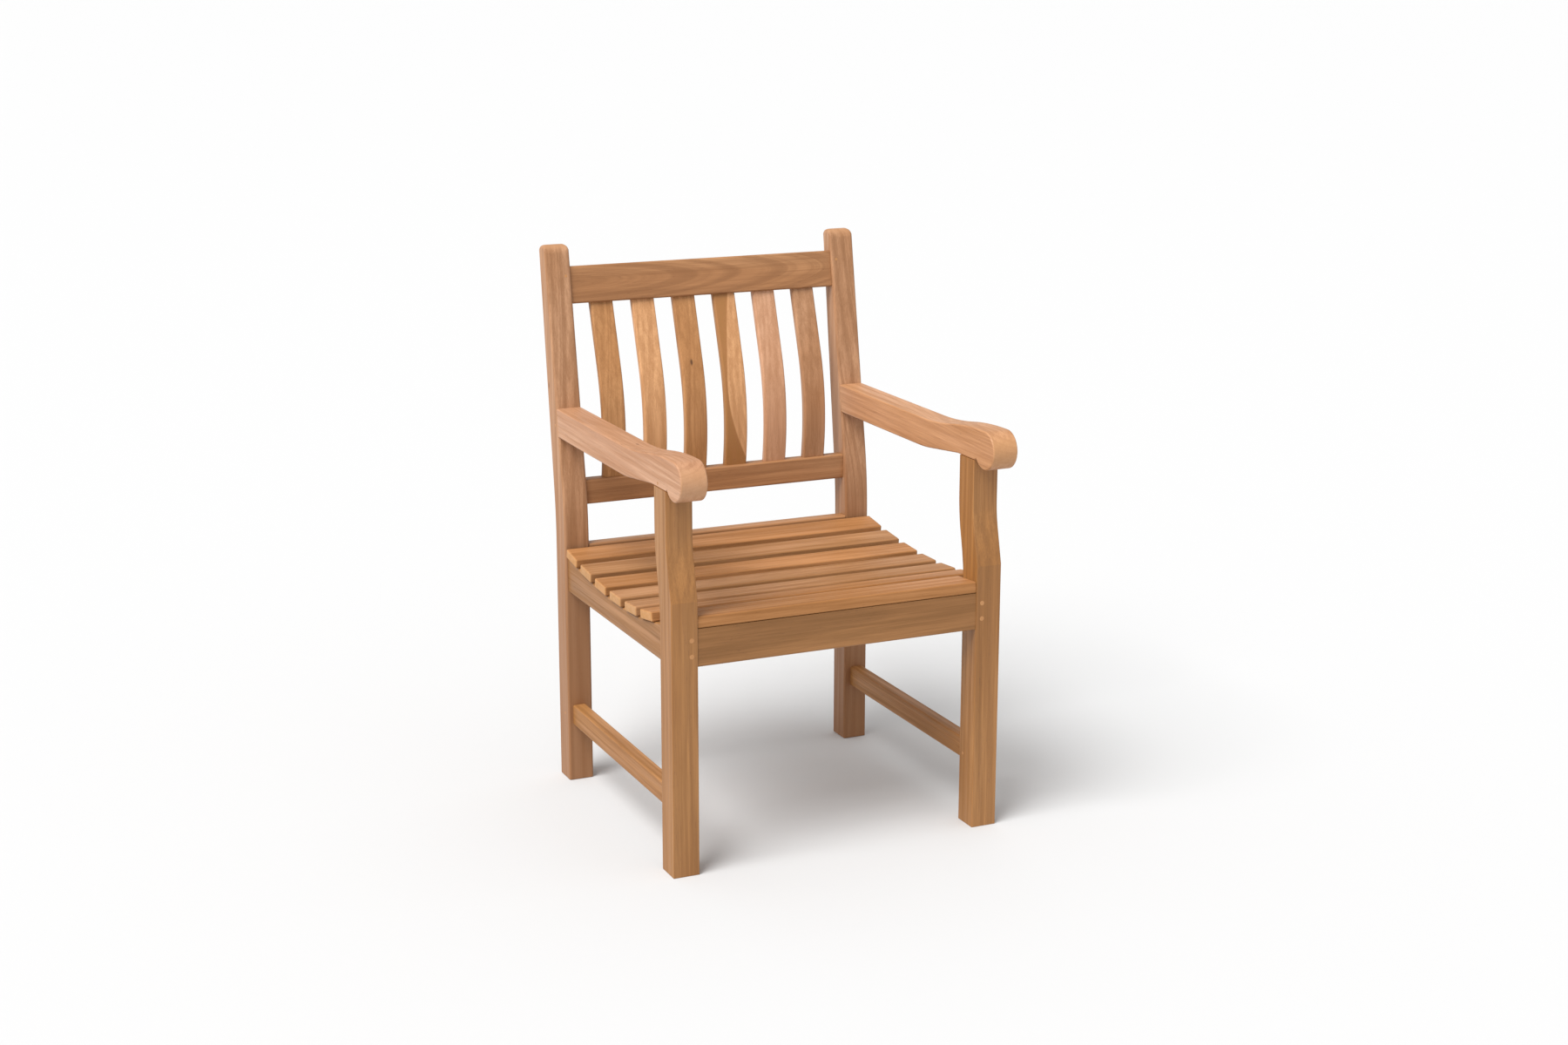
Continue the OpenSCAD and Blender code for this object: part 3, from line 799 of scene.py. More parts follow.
@dataclass(frozen=True)
class Teak:
    """Bare, sanded teak for one piece.

    Args:
        name: the material's name.
        grain: the direction of the fibres.
        centre: the piece's middle in the frame, in metres.
        tone: the board's colours.
        seed: a number of its own, so no two boards look the same.
        pith: how far the tree's middle lies from the piece's, along, beside and behind, in metres.
        taper: how fast the rings run out of the board.
        bow: how much the rings curve along the board.
        ring_width: the rings' spacing in metres.
        contrast: how strongly the rings show.
        warp: how far the rings wander, in metres.
        polish: how strongly the surface reflects.
        heart: the distance from the pith inside which the wood is dark, or 0 for none.
        damp: how strongly painted shade darkens the foot, standing in for the light that falls off
            towards the floor, or 0 for none.
    """

    name: str
    grain: Grain
    centre: Vector
    tone: Boards
    seed: float
    pith: Triple = (0.0, 0.07, 0.11)
    taper: float = 0.02
    bow: float = 0.0
    ring_width: float = 0.009
    contrast: float = 0.36
    warp: float = 0.005
    polish: float = 0.4
    heart: float = 0.0
    damp: float = 0.0

    def paint(self, w: Wiring, marks: bpy.types.NodeOutputs, cut_across: Socket) -> Socket:
        """Work out the wood's colour.

        Args:
            w: the wiring of the material's tree.
            marks: the figure's outputs.
            cut_across: where the fibres come out of the surface.

        Returns:
            The colour.
        """
        tone = self.tone.value
        light, mid, dark, sawn = (
            (*colour, 1.0) for colour in (tone.light, tone.mid, tone.dark, tone.end)
        )
        colour = w.mix(marks["Patches"], mid, light)
        if self.heart:
            inside = w.spread(marks["Heart"], self.heart + HEART_BLUR, self.heart - HEART_BLUR)
            colour = w.mix(inside, colour, HEARTWOOD)
        # Painted shade: darker towards the floor, standing in for the light that falls off under the
        # seat.
        if self.damp:
            place = w.node("ShaderNodeTexCoord").outputs["Object"]
            height = w.node("ShaderNodeSeparateXYZ", {"Vector": place}).outputs["Z"]
            colour = w.mix(w.spread(height, *PAINTED_SHADE_HEIGHTS, 0.0, self.damp), colour, dark)
        for amount, stain in (
            (w.math("MULTIPLY", marks["Rings"], self.contrast), dark),
            (w.math("MULTIPLY", marks["Streaks"], STREAK_SHADE), dark),
            (w.spread(marks["Fibres"], *FIBRE_EDGES, 0.0, FIBRE_SHADE), dark),
            (w.math("MULTIPLY", cut_across, END_SHADE), sawn),
            (w.math("MULTIPLY", marks["Pores"], PORE_SHADE), PORE),
            (w.math("MULTIPLY", marks["Knots"], KNOT_SHADE), KNOT),
        ):
            colour = w.mix(amount, colour, stain)
        return colour

    def build(self, groups: TeakGroups) -> bpy.types.Material:
        """Make the material.

        Args:
            groups: the shared teak groups.

        Returns:
            The material, ready to be put on its piece.
        """
        material = bpy.data.materials.new(self.name)
        material.use_nodes = True
        material.node_tree.nodes.clear()
        w = Wiring(material.node_tree)
        turn = Euler(self.grain.value).to_matrix()
        where = w.node("ShaderNodeMapping", {
            "Vector": w.node("ShaderNodeTexCoord").outputs["Object"],
            "Rotation": self.grain.value,
            "Location": -(turn @ self.centre),
        })
        figure = {
            "Vector": where.outputs[0], "Seed": self.seed, "Pith": self.pith, "Taper": self.taper,
            "Bow": self.bow, "Ring Width": self.ring_width, "Warp": self.warp,
        }
        marks = w.node("ShaderNodeGroup", figure, node_tree=groups.figure).outputs
        end = {"Along": turn.transposed() @ Vector((1, 0, 0))}
        cut_across = w.node("ShaderNodeGroup", end, node_tree=groups.end_grain).outputs[0]
        relief = w.math("MULTIPLY", marks["Fibres"], FIBRE_RELIEF)
        relief = w.math("SUBTRACT", relief, marks["Pores"])
        bump = {"Strength": RELIEF_STRENGTH, "Distance": RELIEF_HEIGHT, "Height": relief}
        surface = w.node("ShaderNodeBsdfPrincipled", {
            "Base Color": self.paint(w, marks, cut_across),
            "Roughness": w.spread(marks["Streaks"], 0.0, 1.0, *ROUGHNESS),
            "Normal": w.node("ShaderNodeBump", bump).outputs[0],
            "Specular IOR Level": self.polish,
        })
        w.node("ShaderNodeOutputMaterial", {"Surface": surface.outputs[0]})
        return material


# --- Sub-assemblies ---


@dataclass
class Workshop:
    """What every sub-assembly needs.

    Args:
        datum: where the chair's own measurements start.
        groups: the shared teak groups.
        boards_used: how many boards have been dressed.
        seed_step: how far the seeds of two boards in a row differ.
    """

    datum: Datum
    groups: TeakGroups
    boards_used: int = 0
    seed_step: float = 1.7

    def board(
        self, node: str, grain: Grain, tone: Boards, seed: float, **figure: object
    ) -> bpy.types.Material:
        """Make the teak for one CAD node.

        Args:
            node: the CAD node.
            grain: the direction of its fibres.
            tone: the colours of its board.
            seed: the board's own number.
            figure: other values of the board's figure.

        Returns:
            The material.
        """
        low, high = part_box(node)
        teak = Teak("teak_" + node, grain, (low + high) / 2, tone, seed, **figure)
        return teak.build(self.groups)

    def finish(
        self, piece: Piece, node: str, slot: str, grain: Grain, tone: Boards, **figure: object
    ) -> None:
        """Sand a piece, dress it in its own board of teak and fit it.

        Args:
            piece: the shaped piece.
            node: the CAD node that it stands for.
            slot: the material slot's name, passed on to fit_piece.
            grain: the direction of its fibres.
            tone: the colours of its board.
            figure: other values of the board's figure.
        """
        sand(piece)
        self.boards_used += 1
        seed = self.seed_step * self.boards_used
        fit_piece(piece, node, slot, self.board(node, grain, tone, seed, **figure))

    def pair(
        self,
        left: Piece,
        stem: str,
        grain: Grain,
        boards: Sequence[tuple[Boards, Triple]],
        **figure: object,
    ) -> None:
        """Mirror a left-hand piece of the frame, and finish both.

        Args:
            left: the shaped left-hand piece.
            stem: the nodes' name without its side.
            grain: the direction of the fibres.
            boards: colours and pith of the left board and of the right one.
            figure: other values of the boards' figure.
        """
        right = mirror_piece(left, stem + "_right_wood")
        for piece, side, (tone, pith) in zip((left, right), Side, boards):
            node = f"{stem}_{side.value}"
            self.finish(piece, node, FRAME_SLOT, grain, tone, pith=pith, **figure)

    def outline(self, name: str, points: Sequence[Point], x_low: float, width: float) -> Piece:
        """Draw a piece from its side outline.

        Args:
            name: the piece's name.
            points: the outline as length along the chair and height, in millimetres.
            x_low: where its left face is, in millimetres.
            width: its width across the chair, in millimetres.

        Returns:
            The solid piece.
        """
        placed = [self.datum.place(x_low, y, z) for y, z in points]
        return draw_outline(name, placed, width * MM)

    def left_outline(self, stem: str, points: Sequence[Point], width: float) -> Piece:
        """Draw a left-hand piece whose outer face is flush with the legs."""
        return self.outline(stem + "_left_wood", points, -self.datum.half_width, width)


@dataclass
class Posts:
    """The two rear posts, upright to the seat and raked above it.

    Args:
        shop: the shared workshop.
        width: width across the chair.
        depth: depth at the floor.
        front: where their front faces stand, behind the front legs' front faces.
        height: height from the floor.
        bend: height at which they start to bend.
        bend_radius: radius of the bend.
        rake: rake of the front face in degrees.
        back_rake: rake of the back face in degrees.
        top_roundings: rounding of the top in front, behind and at the sides.
        foot_arris: rounding of the edges on the floor.
        arris: rounding of the long edges.
    """

    shop: Workshop
    width: float = 46.4
    depth: float = 49.5
    front: float = 504.0
    height: float = 965.0
    bend: float = 440.0
    bend_radius: float = 750.0
    rake: float = 9.6
    back_rake: float = 7.2
    top_roundings: Triple = (15.2, 13.6, 8.5)
    foot_arris: float = 2.0
    arris: float = 4.5

    def bend_corner(self, rake: float) -> float:
        """Give the height where a face's two straight stretches would meet."""
        return self.bend + self.bend_radius * math.tan(math.radians(rake) / 2)

    def front_at(self, height: float) -> float:
        """Give where the front face is at a height above the bend."""
        return self.front + (height - self.bend_corner(self.rake)) * math.tan(math.radians(self.rake))

    def back_at(self, height: float) -> float:
        """Give where the back face is at a height above the bend."""
        rise = height - self.bend_corner(self.back_rake)
        return self.front + self.depth + rise * math.tan(math.radians(self.back_rake))

    def radius_at(self, middle: Vector, direction: Vector) -> float:
        """Choose the rounding of a post's edge.

        Args:
            middle: the edge's middle in the frame.
            direction: the edge's direction.

        Returns:
            The radius in millimetres.
        """
        in_front, behind, beside = self.top_roundings
        crown_y = (self.front_at(self.height) + self.back_at(self.height)) / 2
        crown = self.shop.datum.place(0, crown_y, self.height)
        if middle.z < MM:
            return self.foot_arris
        if middle.z < crown.z - MM:
            return self.arris
        if abs(direction.y) > ALONG:
            return beside
        return in_front if middle.y < crown.y else behind

    def build(self) -> None:
        """Shape, dress and fit both posts."""
        back = self.front + self.depth
        low_front, low_back = self.bend_corner(self.rake), self.bend_corner(self.back_rake)
        outline = rounded([
            (self.front, 0, 0),
            (self.front, low_front, self.bend_radius),
            (self.front_at(self.height), self.height, 0),
            (self.back_at(self.height), self.height, 0),
            (back, low_back, self.bend_radius),
            (back, 0, 0),
        ])
        left = self.shop.left_outline("rear_post", outline, self.width)
        round_over(left, self.radius_at)
        boards = ((Boards.HONEY, (0, 0.04, 0.09)), (Boards.HONEY, (0, 0.05, -0.08)))
        # The posts' feet are darkened towards the floor with painted shade.
        self.shop.pair(left, "rear_post", Grain.UPRIGHT, boards, contrast=0.5, damp=0.7)


@dataclass
class FrontLegs:
    """The two front legs, which sweep back above a crease.

    Args:
        shop: the shared workshop.
        width: width across the chair.
        depth: depth.
        height: height to the arm.
        sweep: how far the top steps back.
        crease: height of the crease.
        crease_turn: rise from the crease to the first bend.
        crease_lean: lean just above the crease in degrees.
        sweep_rise: rise of the front sweep.
        front_bends: radii of the front sweep's bends.
        rear_crease: height where the rear face starts to sweep.
        rear_rise: rise of the rear sweep.
        rear_bend: radius of the rear sweep's bends.
        foot_arris: rounding of the edges on the floor.
        upper_arris: rounding of the long edges above the crease.
        arris: rounding of the long edges below it.
    """

    shop: Workshop
    width: float = 46.4
    depth: float = 49.5
    height: float = 646.0
    sweep: float = 19.5
    crease: float = 466.0
    crease_turn: float = 14.0
    crease_lean: float = 13.0
    sweep_rise: float = 84.0
    front_bends: Pair = (200.0, 180.0)
    rear_crease: float = 459.2
    rear_rise: float = 84.0
    rear_bend: float = 320.0
    foot_arris: float = 2.0
    upper_arris: float = 3.0
    arris: float = 4.5

    def radius_at(self, middle: Vector, direction: Vector) -> float:
        """Choose the rounding of a leg's edge.

        Args:
            middle: the edge's middle in the frame.
            direction: the edge's direction, which makes no difference here.

        Returns:
            The radius in millimetres, 0 under the arm.
        """
        height = middle.z / MM
        if height < 1:
            return self.foot_arris
        if height > self.height - 1:
            return 0.0
        return self.arris if height < self.crease else self.upper_arris

    def build(self) -> None:
        """Shape, dress and fit both front legs."""
        lean = self.crease_turn * math.tan(math.radians(self.crease_lean))
        outline = rounded([
            (0, 0, 0),
            (0, self.crease, 0),
            (lean, self.crease + self.crease_turn, self.front_bends[0]),
            (self.sweep, self.crease + self.sweep_rise, self.front_bends[1]),
            (self.sweep, self.height, 0),
            (self.sweep + self.depth, self.height, 0),
            (self.sweep + self.depth, self.rear_crease + self.rear_rise, self.rear_bend),
            (self.depth, self.rear_crease, self.rear_bend),
            (self.depth, 0, 0),
        ])
        left = self.shop.left_outline("front_leg", outline, self.width)
        round_over(left, self.radius_at)
        crease(left, self.crease)
        boards = ((Boards.OCHRE, (0, 0.06, 0.05)), (Boards.OCHRE, (0, -0.06, 0.07)))
        self.shop.pair(left, "front_leg", Grain.UPRIGHT, boards, contrast=0.25, polish=0.55)


@dataclass
class Arms:
    """The two arms, level behind and scrolled in front.

    Args:
        shop: the shared workshop.
        posts: the posts that the arms run into.
        legs: the front legs that they stand on.
        thickness: thickness behind the scroll.
        rise: rise of the top towards the scroll.
        under_rise: rise of the underside towards the leg.
        scroll: radius of the scroll.
        scroll_out: how far the scroll stands out in front.
        sweep: length of the S-shaped rise.
        crest: level stretch behind the scroll's centre.
        under_start: where the underside leaves the leg, behind it.
        under_run: length of the underside's slope.
        under_bends: radii of the underside's bends.
        scroll_angles: start of the scroll's circle, a degree past its end, and its step.
        arris: rounding of the edges.
        post_clear: how far from the post the rounding stops.
    """

    shop: Workshop
    posts: Posts
    legs: FrontLegs
    thickness: float = 51.0
    rise: float = 18.0
    under_rise: float = 13.5
    scroll: float = 33.0
    scroll_out: float = 46.0
    sweep: float = 215.0
    crest: float = 8.0
    under_start: float = 10.0
    under_run: float = 130.0
    under_bends: Pair = (60.0, 400.0)
    scroll_angles: tuple[int, int, int] = (96, 325, 6)
    arris: float = 2.8
    post_clear: float = 4.0

    def build(self) -> None:
        """Shape, dress and fit both arms."""
        leg_top, leg_front = self.legs.height, self.legs.sweep
        leg_back = leg_front + self.legs.depth
        bottom = leg_top - self.under_rise
        top = bottom + self.thickness
        crest = top + self.rise
        centre = Vector((self.scroll - self.scroll_out, crest - self.scroll))
        bend = ((self.sweep / 2) ** 2 + (self.rise / 2) ** 2) / self.rise
        corner = bend * self.rise / self.sweep
        front = centre.x + self.crest
        post_low, post_high = self.posts.front_at(bottom), self.posts.front_at(top)
        outline = rounded([
            (post_low, bottom, 0),
            (post_high, top, 0),
            (front + self.sweep - corner, top, bend),
            (front + corner, crest, bend),
            (centre.x, crest, 0),
        ])
        angles = range(*self.scroll_angles)
        outline += [on_arc(centre, self.scroll, angle) for angle in angles]
        outline += rounded([
            (leg_front, leg_top, 0),
            (leg_back, leg_top, 0),
            (leg_back + self.under_start, leg_top, self.under_bends[0]),
            (leg_back + self.under_run, bottom, self.under_bends[1]),
            (post_low - 1, bottom, 0),
        ])
        left = self.shop.left_outline("arm", outline, self.legs.width)
        clear = self.shop.datum.front + (post_low - self.post_clear) * MM
        across = runs_along(0)
        ease(left, self.arris, lambda middle, way: middle.y < clear and not across(middle, way))
        boards = ((Boards.ROSE, (0, 0.03, 0.12)), (Boards.WHEAT, (0, -0.03, 0.1)))
        self.shop.pair(left, "arm", Grain.FRONT_TO_BACK, boards, taper=0.06, polish=0.5)


@dataclass
class Rails:
    """The straight rails and stretchers, and the dished side rails.

    Args:
        shop: the shared workshop.
        posts: the posts that they run into.
        legs: the front legs that they run into.
        arris: rounding of their long edges.
        dish_line: lowest line of the dish.
        dish_radii: radii of the dish in front of and behind that line.
        dish_steps: how many straight pieces the dish is drawn with.
        side_thickness: thickness of the side rails.
        side_inset: how far the side rails are set in from the legs' outer faces.
        side_bottom: height of the side rails' underside.
        dish_low: height of the dish's lowest line.
        slat_slope: slope of the front slat in degrees.
        back_thickness: thickness of the top back rail.
        top_depth: depth of the top back rail.
        top_low: front lower edge of the top back rail.
    """

    shop: Workshop
    posts: Posts
    legs: FrontLegs
    arris: float = 3.5
    dish_line: float = 245.0
    dish_radii: Pair = (879.7, 1549.5)
    dish_steps: int = 32
    side_thickness: float = 26.0
    side_inset: float = 5.0
    side_bottom: float = 355.5
    dish_low: float = 399.5
    slat_slope: float = 4.8
    back_thickness: float = 26.0
    top_depth: float = 66.5
    top_low: Point = (569.72, 862.0)

    def leg_inside(self) -> float:
        """Give the distance from the middle of the chair to the legs' inner faces."""
        return self.shop.datum.half_width - self.legs.width

    def between_legs(self, node: str, points: Sequence[Point]) -> Piece:
        """Draw a rail that reaches from leg to leg."""
        return self.shop.outline(node + "_wood", points, -self.leg_inside(), 2 * self.leg_inside())

    def dish_at(self, y: float) -> float:
        """Give the height of the side rails' top edge."""
        radius = self.dish_radii[0 if y < self.dish_line else 1]
        return self.dish_low + radius - math.sqrt(radius**2 - (y - self.dish_line) ** 2)

    def straight(self, node: str, tone: Boards, grain: Grain, ends: int, **figure: object) -> None:
        """Saw a straight rail to its CAD node's box between the shoulders, and fit it.

        Args:
            node: the CAD node.
            tone: the colours of its board.
            grain: the direction of its fibres.
            ends: the axis along which its tenons reach into the posts.
            figure: other values of the board's figure.
        """
        low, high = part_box(node)
        if ends == 0:
            low.x, high.x = -self.leg_inside() * MM, self.leg_inside() * MM
        else:
            low.y = self.shop.datum.front + self.legs.depth * MM
            high.y = self.shop.datum.front + self.posts.front * MM
        piece = saw_board(node + "_wood", tuple((high - low) / MM), (low + high) / 2)
        ease(piece, self.arris, runs_along(ends))
        self.shop.finish(piece, node, FRAME_SLOT, grain, tone, **figure)

    def front_rail(self) -> None:
        """Shape the front rail, whose top slopes with the front slat."""
        low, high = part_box("front_seat_rail")
        start = self.shop.datum.front
        front, back = (low.y - start) / MM, (high.y - start) / MM
        drop = (back - front) * math.tan(math.radians(self.slat_slope))
        bottom, top = low.z / MM, high.z / MM
        outline = [(front, bottom), (back, bottom), (back, top - drop), (front, top)]
        piece = self.between_legs("front_seat_rail", outline)
        half_way = (bottom + top) / 2 * MM
        across = runs_along(0)
        ease(piece, self.arris, lambda middle, way: across(middle, way) and middle.z < half_way)
        self.shop.finish(
            piece, "front_seat_rail", FRAME_SLOT, Grain.ACROSS, Boards.BROWN, pith=(0.1, 0.13, 0.02)
        )

    def side_rails(self) -> None:
        """Shape both side rails with their dished tops."""
        front, back = self.legs.depth, self.posts.front
        steps = self.dish_steps
        line = [back + (front - back) * i / steps for i in range(steps + 1)]
        outline = [(front, self.side_bottom), (back, self.side_bottom)]
        outline += [(y, self.dish_at(y)) for y in line]
        outer = self.shop.datum.half_width - self.side_inset
        left = self.shop.outline("side_seat_rail_left_wood", outline, -outer, self.side_thickness)
        ease(left, self.arris, runs_along(1))
        boards = ((Boards.BROWN, (0, 0.12, 0.04)),) * 2
        self.shop.pair(left, "side_seat_rail", Grain.FRONT_TO_BACK, boards)

    def top_rail(self) -> None:
        """Shape the top back rail, which leans with the posts."""
        turn = math.radians(self.posts.rake)
        y, z = self.top_low
        thick, deep = self.back_thickness, self.top_depth
        away = Vector((math.cos(turn), -math.sin(turn)))
        up = Vector((math.sin(turn), math.cos(turn)))
        corners = ((0, 0), (thick, 0), (thick, deep), (0, deep))
        outline = [tuple(Vector((y, z)) + a * away + b * up) for a, b in corners]
        piece = self.between_legs("top_back_rail", outline)
        ease(piece, self.arris, runs_along(0))
        self.shop.finish(
            piece, "top_back_rail", FRAME_SLOT, Grain.ACROSS, Boards.UMBER,
            pith=(-0.08, 0.03, 0.0), taper=0.06, bow=0.12, ring_width=0.006, contrast=0.5,
        )

    def build(self) -> None:
        """Shape, dress and fit all rails and stretchers."""
        self.front_rail()
        self.side_rails()
        self.top_rail()
        self.straight("rear_seat_rail", Boards.UMBER, Grain.ACROSS, 0)
        self.straight("lower_back_rail", Boards.UMBER, Grain.ACROSS, 0, pith=(0, 0.1, 0.06))
        for side in Side:
            self.straight("side_stretcher_" + side.value, Boards.GOLD, Grain.FRONT_TO_BACK, 1)


@dataclass
class BackSlats:
    """The bent slats of the back, all to one pattern.

    Args:
        shop: the shared workshop.
        count: how many there are.
        width: width of a slat.
        thickness: thickness of a slat.
        housed: how deep their ends go into the rails.
        foot: where a slat's front meets the lower rail's top.
        head: where a slat's front meets the top rail's underside.
        lumbar: radius of the forward curve.
        low_lean: forward lean below the curve in degrees.
        high_lean: backward lean above it in degrees.
        arris: rounding of the edges.
        two_toned: which slat was cut across the boundary of dark and pale wood.
    """

    shop: Workshop
    count: int = 6
    width: float = 43.0
    thickness: float = 14.0
    housed: float = 6.0
    foot: Point = (523.63, 554.0)
    head: Point = (575.80, 861.0)
    lumbar: float = 400.0
    low_lean: float = 7.0
    high_lean: float = 18.5
    arris: float = 3.5
    two_toned: int = 4

    def line(self, depth: float) -> tuple[Point, Point, Point]:
        """Work out a slat's line at a depth behind its front.

        Args:
            depth: the depth in millimetres.

        Returns:
            The line's foot, its corner before rounding, and its head.
        """
        low, high = math.radians(self.low_lean), math.radians(self.high_lean)
        foot, head = Vector(self.foot), Vector(self.head)
        low_slope, high_slope = math.tan(low), math.tan(high)
        corner_z = foot.x - head.x + foot.y * low_slope + head.y * high_slope
        corner_z /= low_slope + high_slope
        corner = Vector((foot.x - (corner_z - foot.y) * low_slope, corner_z))
        away_low = Vector((math.cos(low), math.sin(low)))
        away_high = Vector((math.cos(high), -math.sin(high)))
        shift = (away_low + away_high) * depth / (1 + away_low.dot(away_high))
        start = foot + away_low * depth - Vector((-math.sin(low), math.cos(low))) * self.housed
        end = head + away_high * depth + Vector((math.sin(high), math.cos(high))) * self.housed
        return tuple(start), tuple(corner + shift), tuple(end)

    def build(self) -> None:
        """Shape one slat, copy it across the back, and dress and fit each."""
        front, back = self.line(0.0), self.line(self.thickness)
        outline = rounded([
            (*front[0], 0), (*front[1], self.lumbar), (*front[2], 0),
            (*back[2], 0), (*back[1], self.lumbar - self.thickness), (*back[0], 0),
        ])
        low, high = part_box("back_slat_1")
        middle = (low.x + high.x) / 2 / MM
        first = self.shop.outline("back_slat_1_wood", outline, middle - self.width / 2, self.width)
        ease(first, self.arris, runs_along(2))
        slats = [first]
        for i in range(2, self.count + 1):
            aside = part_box(f"back_slat_{i}")[0].x - low.x
            slats.append(copy_piece(first, f"back_slat_{i}_wood", aside))
        tones = (Boards.AMBER, Boards.SAND, Boards.AMBER, Boards.SAND, Boards.PALE, Boards.HONEY)
        for i, (slat, tone) in enumerate(zip(slats, tones), start=1):
            extra = {"pith": (0.0, 0.05, 0.1 + 0.01 * i), "taper": 0.03}
            if i == self.two_toned:
                extra = {"pith": (0.0, 0.0, 0.06), "taper": 0.0724, "bow": -1.151, "heart": 0.0535}
            self.shop.finish(slat, f"back_slat_{i}", SLAT_SLOT, Grain.UPRIGHT, tone, **extra)


@dataclass
class SeatSlats:
    """The seat's slats, each lying on the dished side rails.

    Args:
        shop: the shared workshop.
        count: slats behind the front one.
        width: width of a slat.
        thickness: thickness of a slat.
        front_width: width of the front slat.
        front_thickness: thickness of the front slat.
        front_slope: slope of the front slat in degrees.
        arris: rounding of the edges.
    """

    shop: Workshop
    count: int = 6
    width: float = 53.0
    thickness: float = 17.0
    front_width: float = 66.0
    front_thickness: float = 20.0
    front_slope: float = 4.8
    arris: float = 3.0

    def tilt_of(self, node: str) -> float:
        """Work out how far a slat leans from its box.

        Args:
            node: the slat's CAD node.

        Returns:
            The lean in radians, without its direction.
        """
        low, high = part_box(node)
        depth, height = (high.y - low.y) / MM, (high.z - low.z) / MM
        lean = (self.width * height - self.thickness * depth) / (self.width**2 - self.thickness**2)
        return math.asin(max(0.0, min(1.0, lean)))

    def build(self) -> None:
        """Shape, dress and fit all seat slats."""
        names = [f"seat_slat_{i}" for i in range(1, self.count + 1)]
        lowest = min(names, key=lambda name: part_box(name)[0].z)
        low_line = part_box(lowest)[0].y
        length = 2 * self.shop.datum.half_width
        red, tawny = Boards.RUSSET, Boards.TAWNY
        tones = (red, tawny, red, tawny, tawny, red)
        for i, (node, tone) in enumerate(zip(names, tones)):
            low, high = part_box(node)
            tilt = self.tilt_of(node) * (1 if low.y <= low_line else -1)
            size = (length, self.width, self.thickness)
            slat = saw_board(node + "_wood", size, (low + high) / 2, tilt)
            ease(slat, self.arris, lambda middle, direction: True)
            self.shop.finish(
                slat, node, SLAT_SLOT, Grain.ACROSS, tone,
                pith=(0.05 * i, 0.02 * i - 0.05, -0.14), taper=0.04, polish=0.15,
            )
        low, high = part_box("front_seat_slat")
        size = ((high.x - low.x) / MM, self.front_width, self.front_thickness)
        slope = math.radians(self.front_slope)
        slat = saw_board("front_seat_slat_wood", size, (low + high) / 2, slope)
        ease(slat, self.arris, runs_along(0))
        self.shop.finish(
            slat, "front_seat_slat", SLAT_SLOT, Grain.ACROSS, Boards.RUSSET,
            pith=(0, 0.06, -0.1), polish=0.15,
        )


@dataclass
class Pegs:
    """The pegs, pins and dowels, which keep their CAD shapes.

    Args:
        shop: the shared workshop.
        nodes: their CAD nodes.
        ring_width: the rings' spacing in their wood, in metres.
    """

    shop: Workshop
    nodes: tuple[str, ...] = ("joint_pegs", "joint_pins", "slat_dowels")
    ring_width: float = 0.003

    def build(self) -> None:
        """Dress each group of pegs."""
        for node in self.nodes:
            finish = self.shop.board(
                node, Grain.FRONT_TO_BACK, Boards.AMBER, len(node), ring_width=self.ring_width
            )
            dress(bpy.data.objects[node], finish)
            LOG.info("%s: dressed as it stands", node)


# --- Studio ---


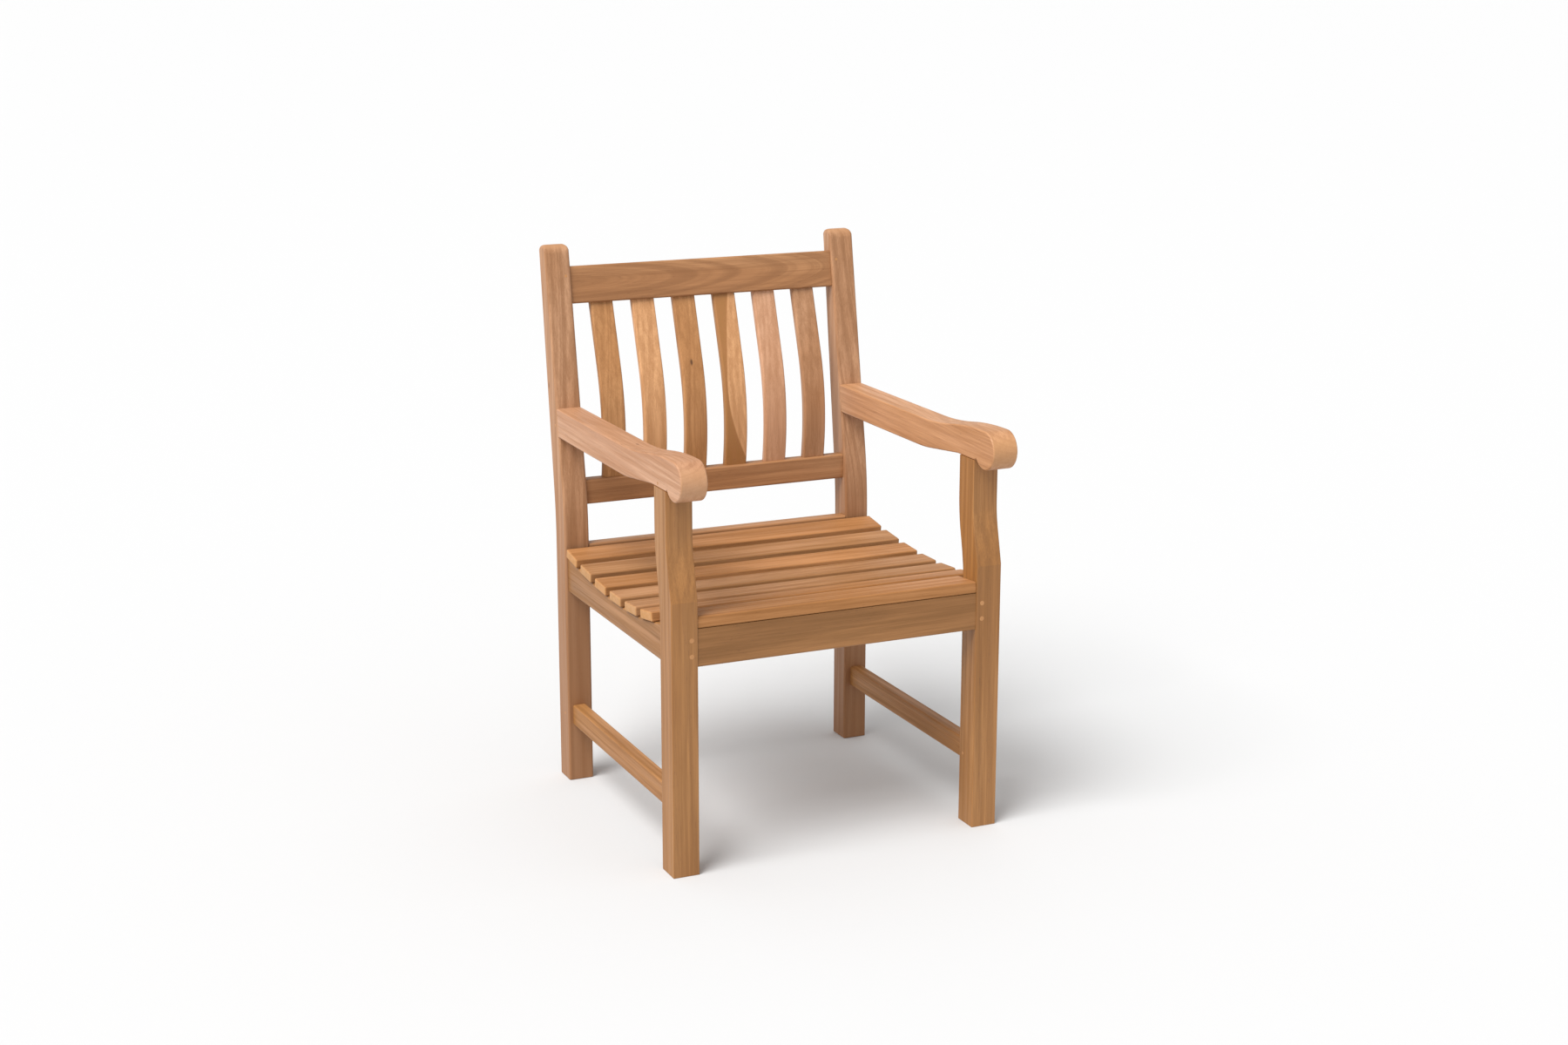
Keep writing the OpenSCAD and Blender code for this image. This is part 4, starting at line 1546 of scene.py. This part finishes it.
@dataclass
class Studio:
    """The pale floor, the soft light and the camera.

    Args:
        datum: where the chair's own measurements start.
        camera_at: the camera's place in the chair's own measurements.
        camera_turn: the camera's angles in degrees.
        lens: focal length in millimetres.
        shift: how far the lens is shifted.
        floor_size: length of the floor's edges in metres.
        floor_shade: how pale the floor is.
        sky: strength of the even light from all around.
        sun: strength of the key light.
        sun_spread: how wide the key light looks in degrees, which softens its shadows.
        sun_way: the way the key light falls.
    """

    datum: Datum
    camera_at: Triple = (-1647.3, -3381.7, 1524.3)
    camera_turn: Triple = (75.909, -0.104, -24.531)
    lens: float = 54.82
    shift: Pair = (-0.0004, -0.0041)
    floor_size: float = 220.0
    floor_shade: float = 0.61
    sky: float = 0.72
    sun: float = 3.6
    sun_spread: float = 36.0
    sun_way: Triple = (0.55, 0.25, -0.8)

    def floor(self) -> None:
        """Lay the floor."""
        put_down()
        bpy.ops.mesh.primitive_plane_add(size=self.floor_size)
        ground = bpy.context.object
        ground.name = "floor"
        paint = bpy.data.materials.new("pale_floor")
        paint.use_nodes = True
        surface = paint.node_tree.nodes["Principled BSDF"]
        surface.inputs["Base Color"].default_value = (*(self.floor_shade,) * 3, 1.0)
        surface.inputs["Roughness"].default_value = 0.95
        surface.inputs["Specular IOR Level"].default_value = 0.1
        ground.data.materials.append(paint)

    def lights(self) -> None:
        """Set an even sky and one broad, soft key light."""
        world = bpy.data.worlds.new("studio")
        world.use_nodes = True
        sky = world.node_tree.nodes["Background"]
        sky.inputs["Color"].default_value = (1.0, 1.0, 1.0, 1.0)
        sky.inputs["Strength"].default_value = self.sky
        bpy.context.scene.world = world
        key = bpy.data.lights.new("key", "SUN")
        key.energy = self.sun
        key.angle = math.radians(self.sun_spread)
        lamp = bpy.data.objects.new("key", key)
        lamp.rotation_euler = Vector(self.sun_way).to_track_quat("-Z", "Y").to_euler()
        bpy.context.scene.collection.objects.link(lamp)

    def camera(self) -> None:
        """Set the camera."""
        eye = bpy.data.cameras.new("camera")
        eye.lens = self.lens
        eye.sensor_width = 36.0
        eye.shift_x, eye.shift_y = self.shift
        eye.clip_end = 500.0
        stand = bpy.data.objects.new("camera", eye)
        stand.location = self.datum.place(*self.camera_at)
        stand.rotation_euler = Euler([math.radians(angle) for angle in self.camera_turn])
        bpy.context.scene.collection.objects.link(stand)
        bpy.context.scene.camera = stand

    def build(self) -> None:
        """Set the stage."""
        self.floor()
        self.lights()
        self.camera()
        bpy.context.scene.view_settings.view_transform = "Standard"


def main() -> None:
    """Load the frame, build every piece and set the stage."""
    logging.basicConfig(level=logging.INFO, format="%(name)s: %(message)s")
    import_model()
    shop = Workshop(Datum.from_frame(), TeakGroups())
    posts, legs = Posts(shop), FrontLegs(shop)
    Studio(shop.datum).build()
    frame = (posts, legs, Arms(shop, posts, legs), Rails(shop, posts, legs))
    for assembly in (*frame, BackSlats(shop), SeatSlats(shop), Pegs(shop)):
        assembly.build()


if __name__ == "__main__":
    main()
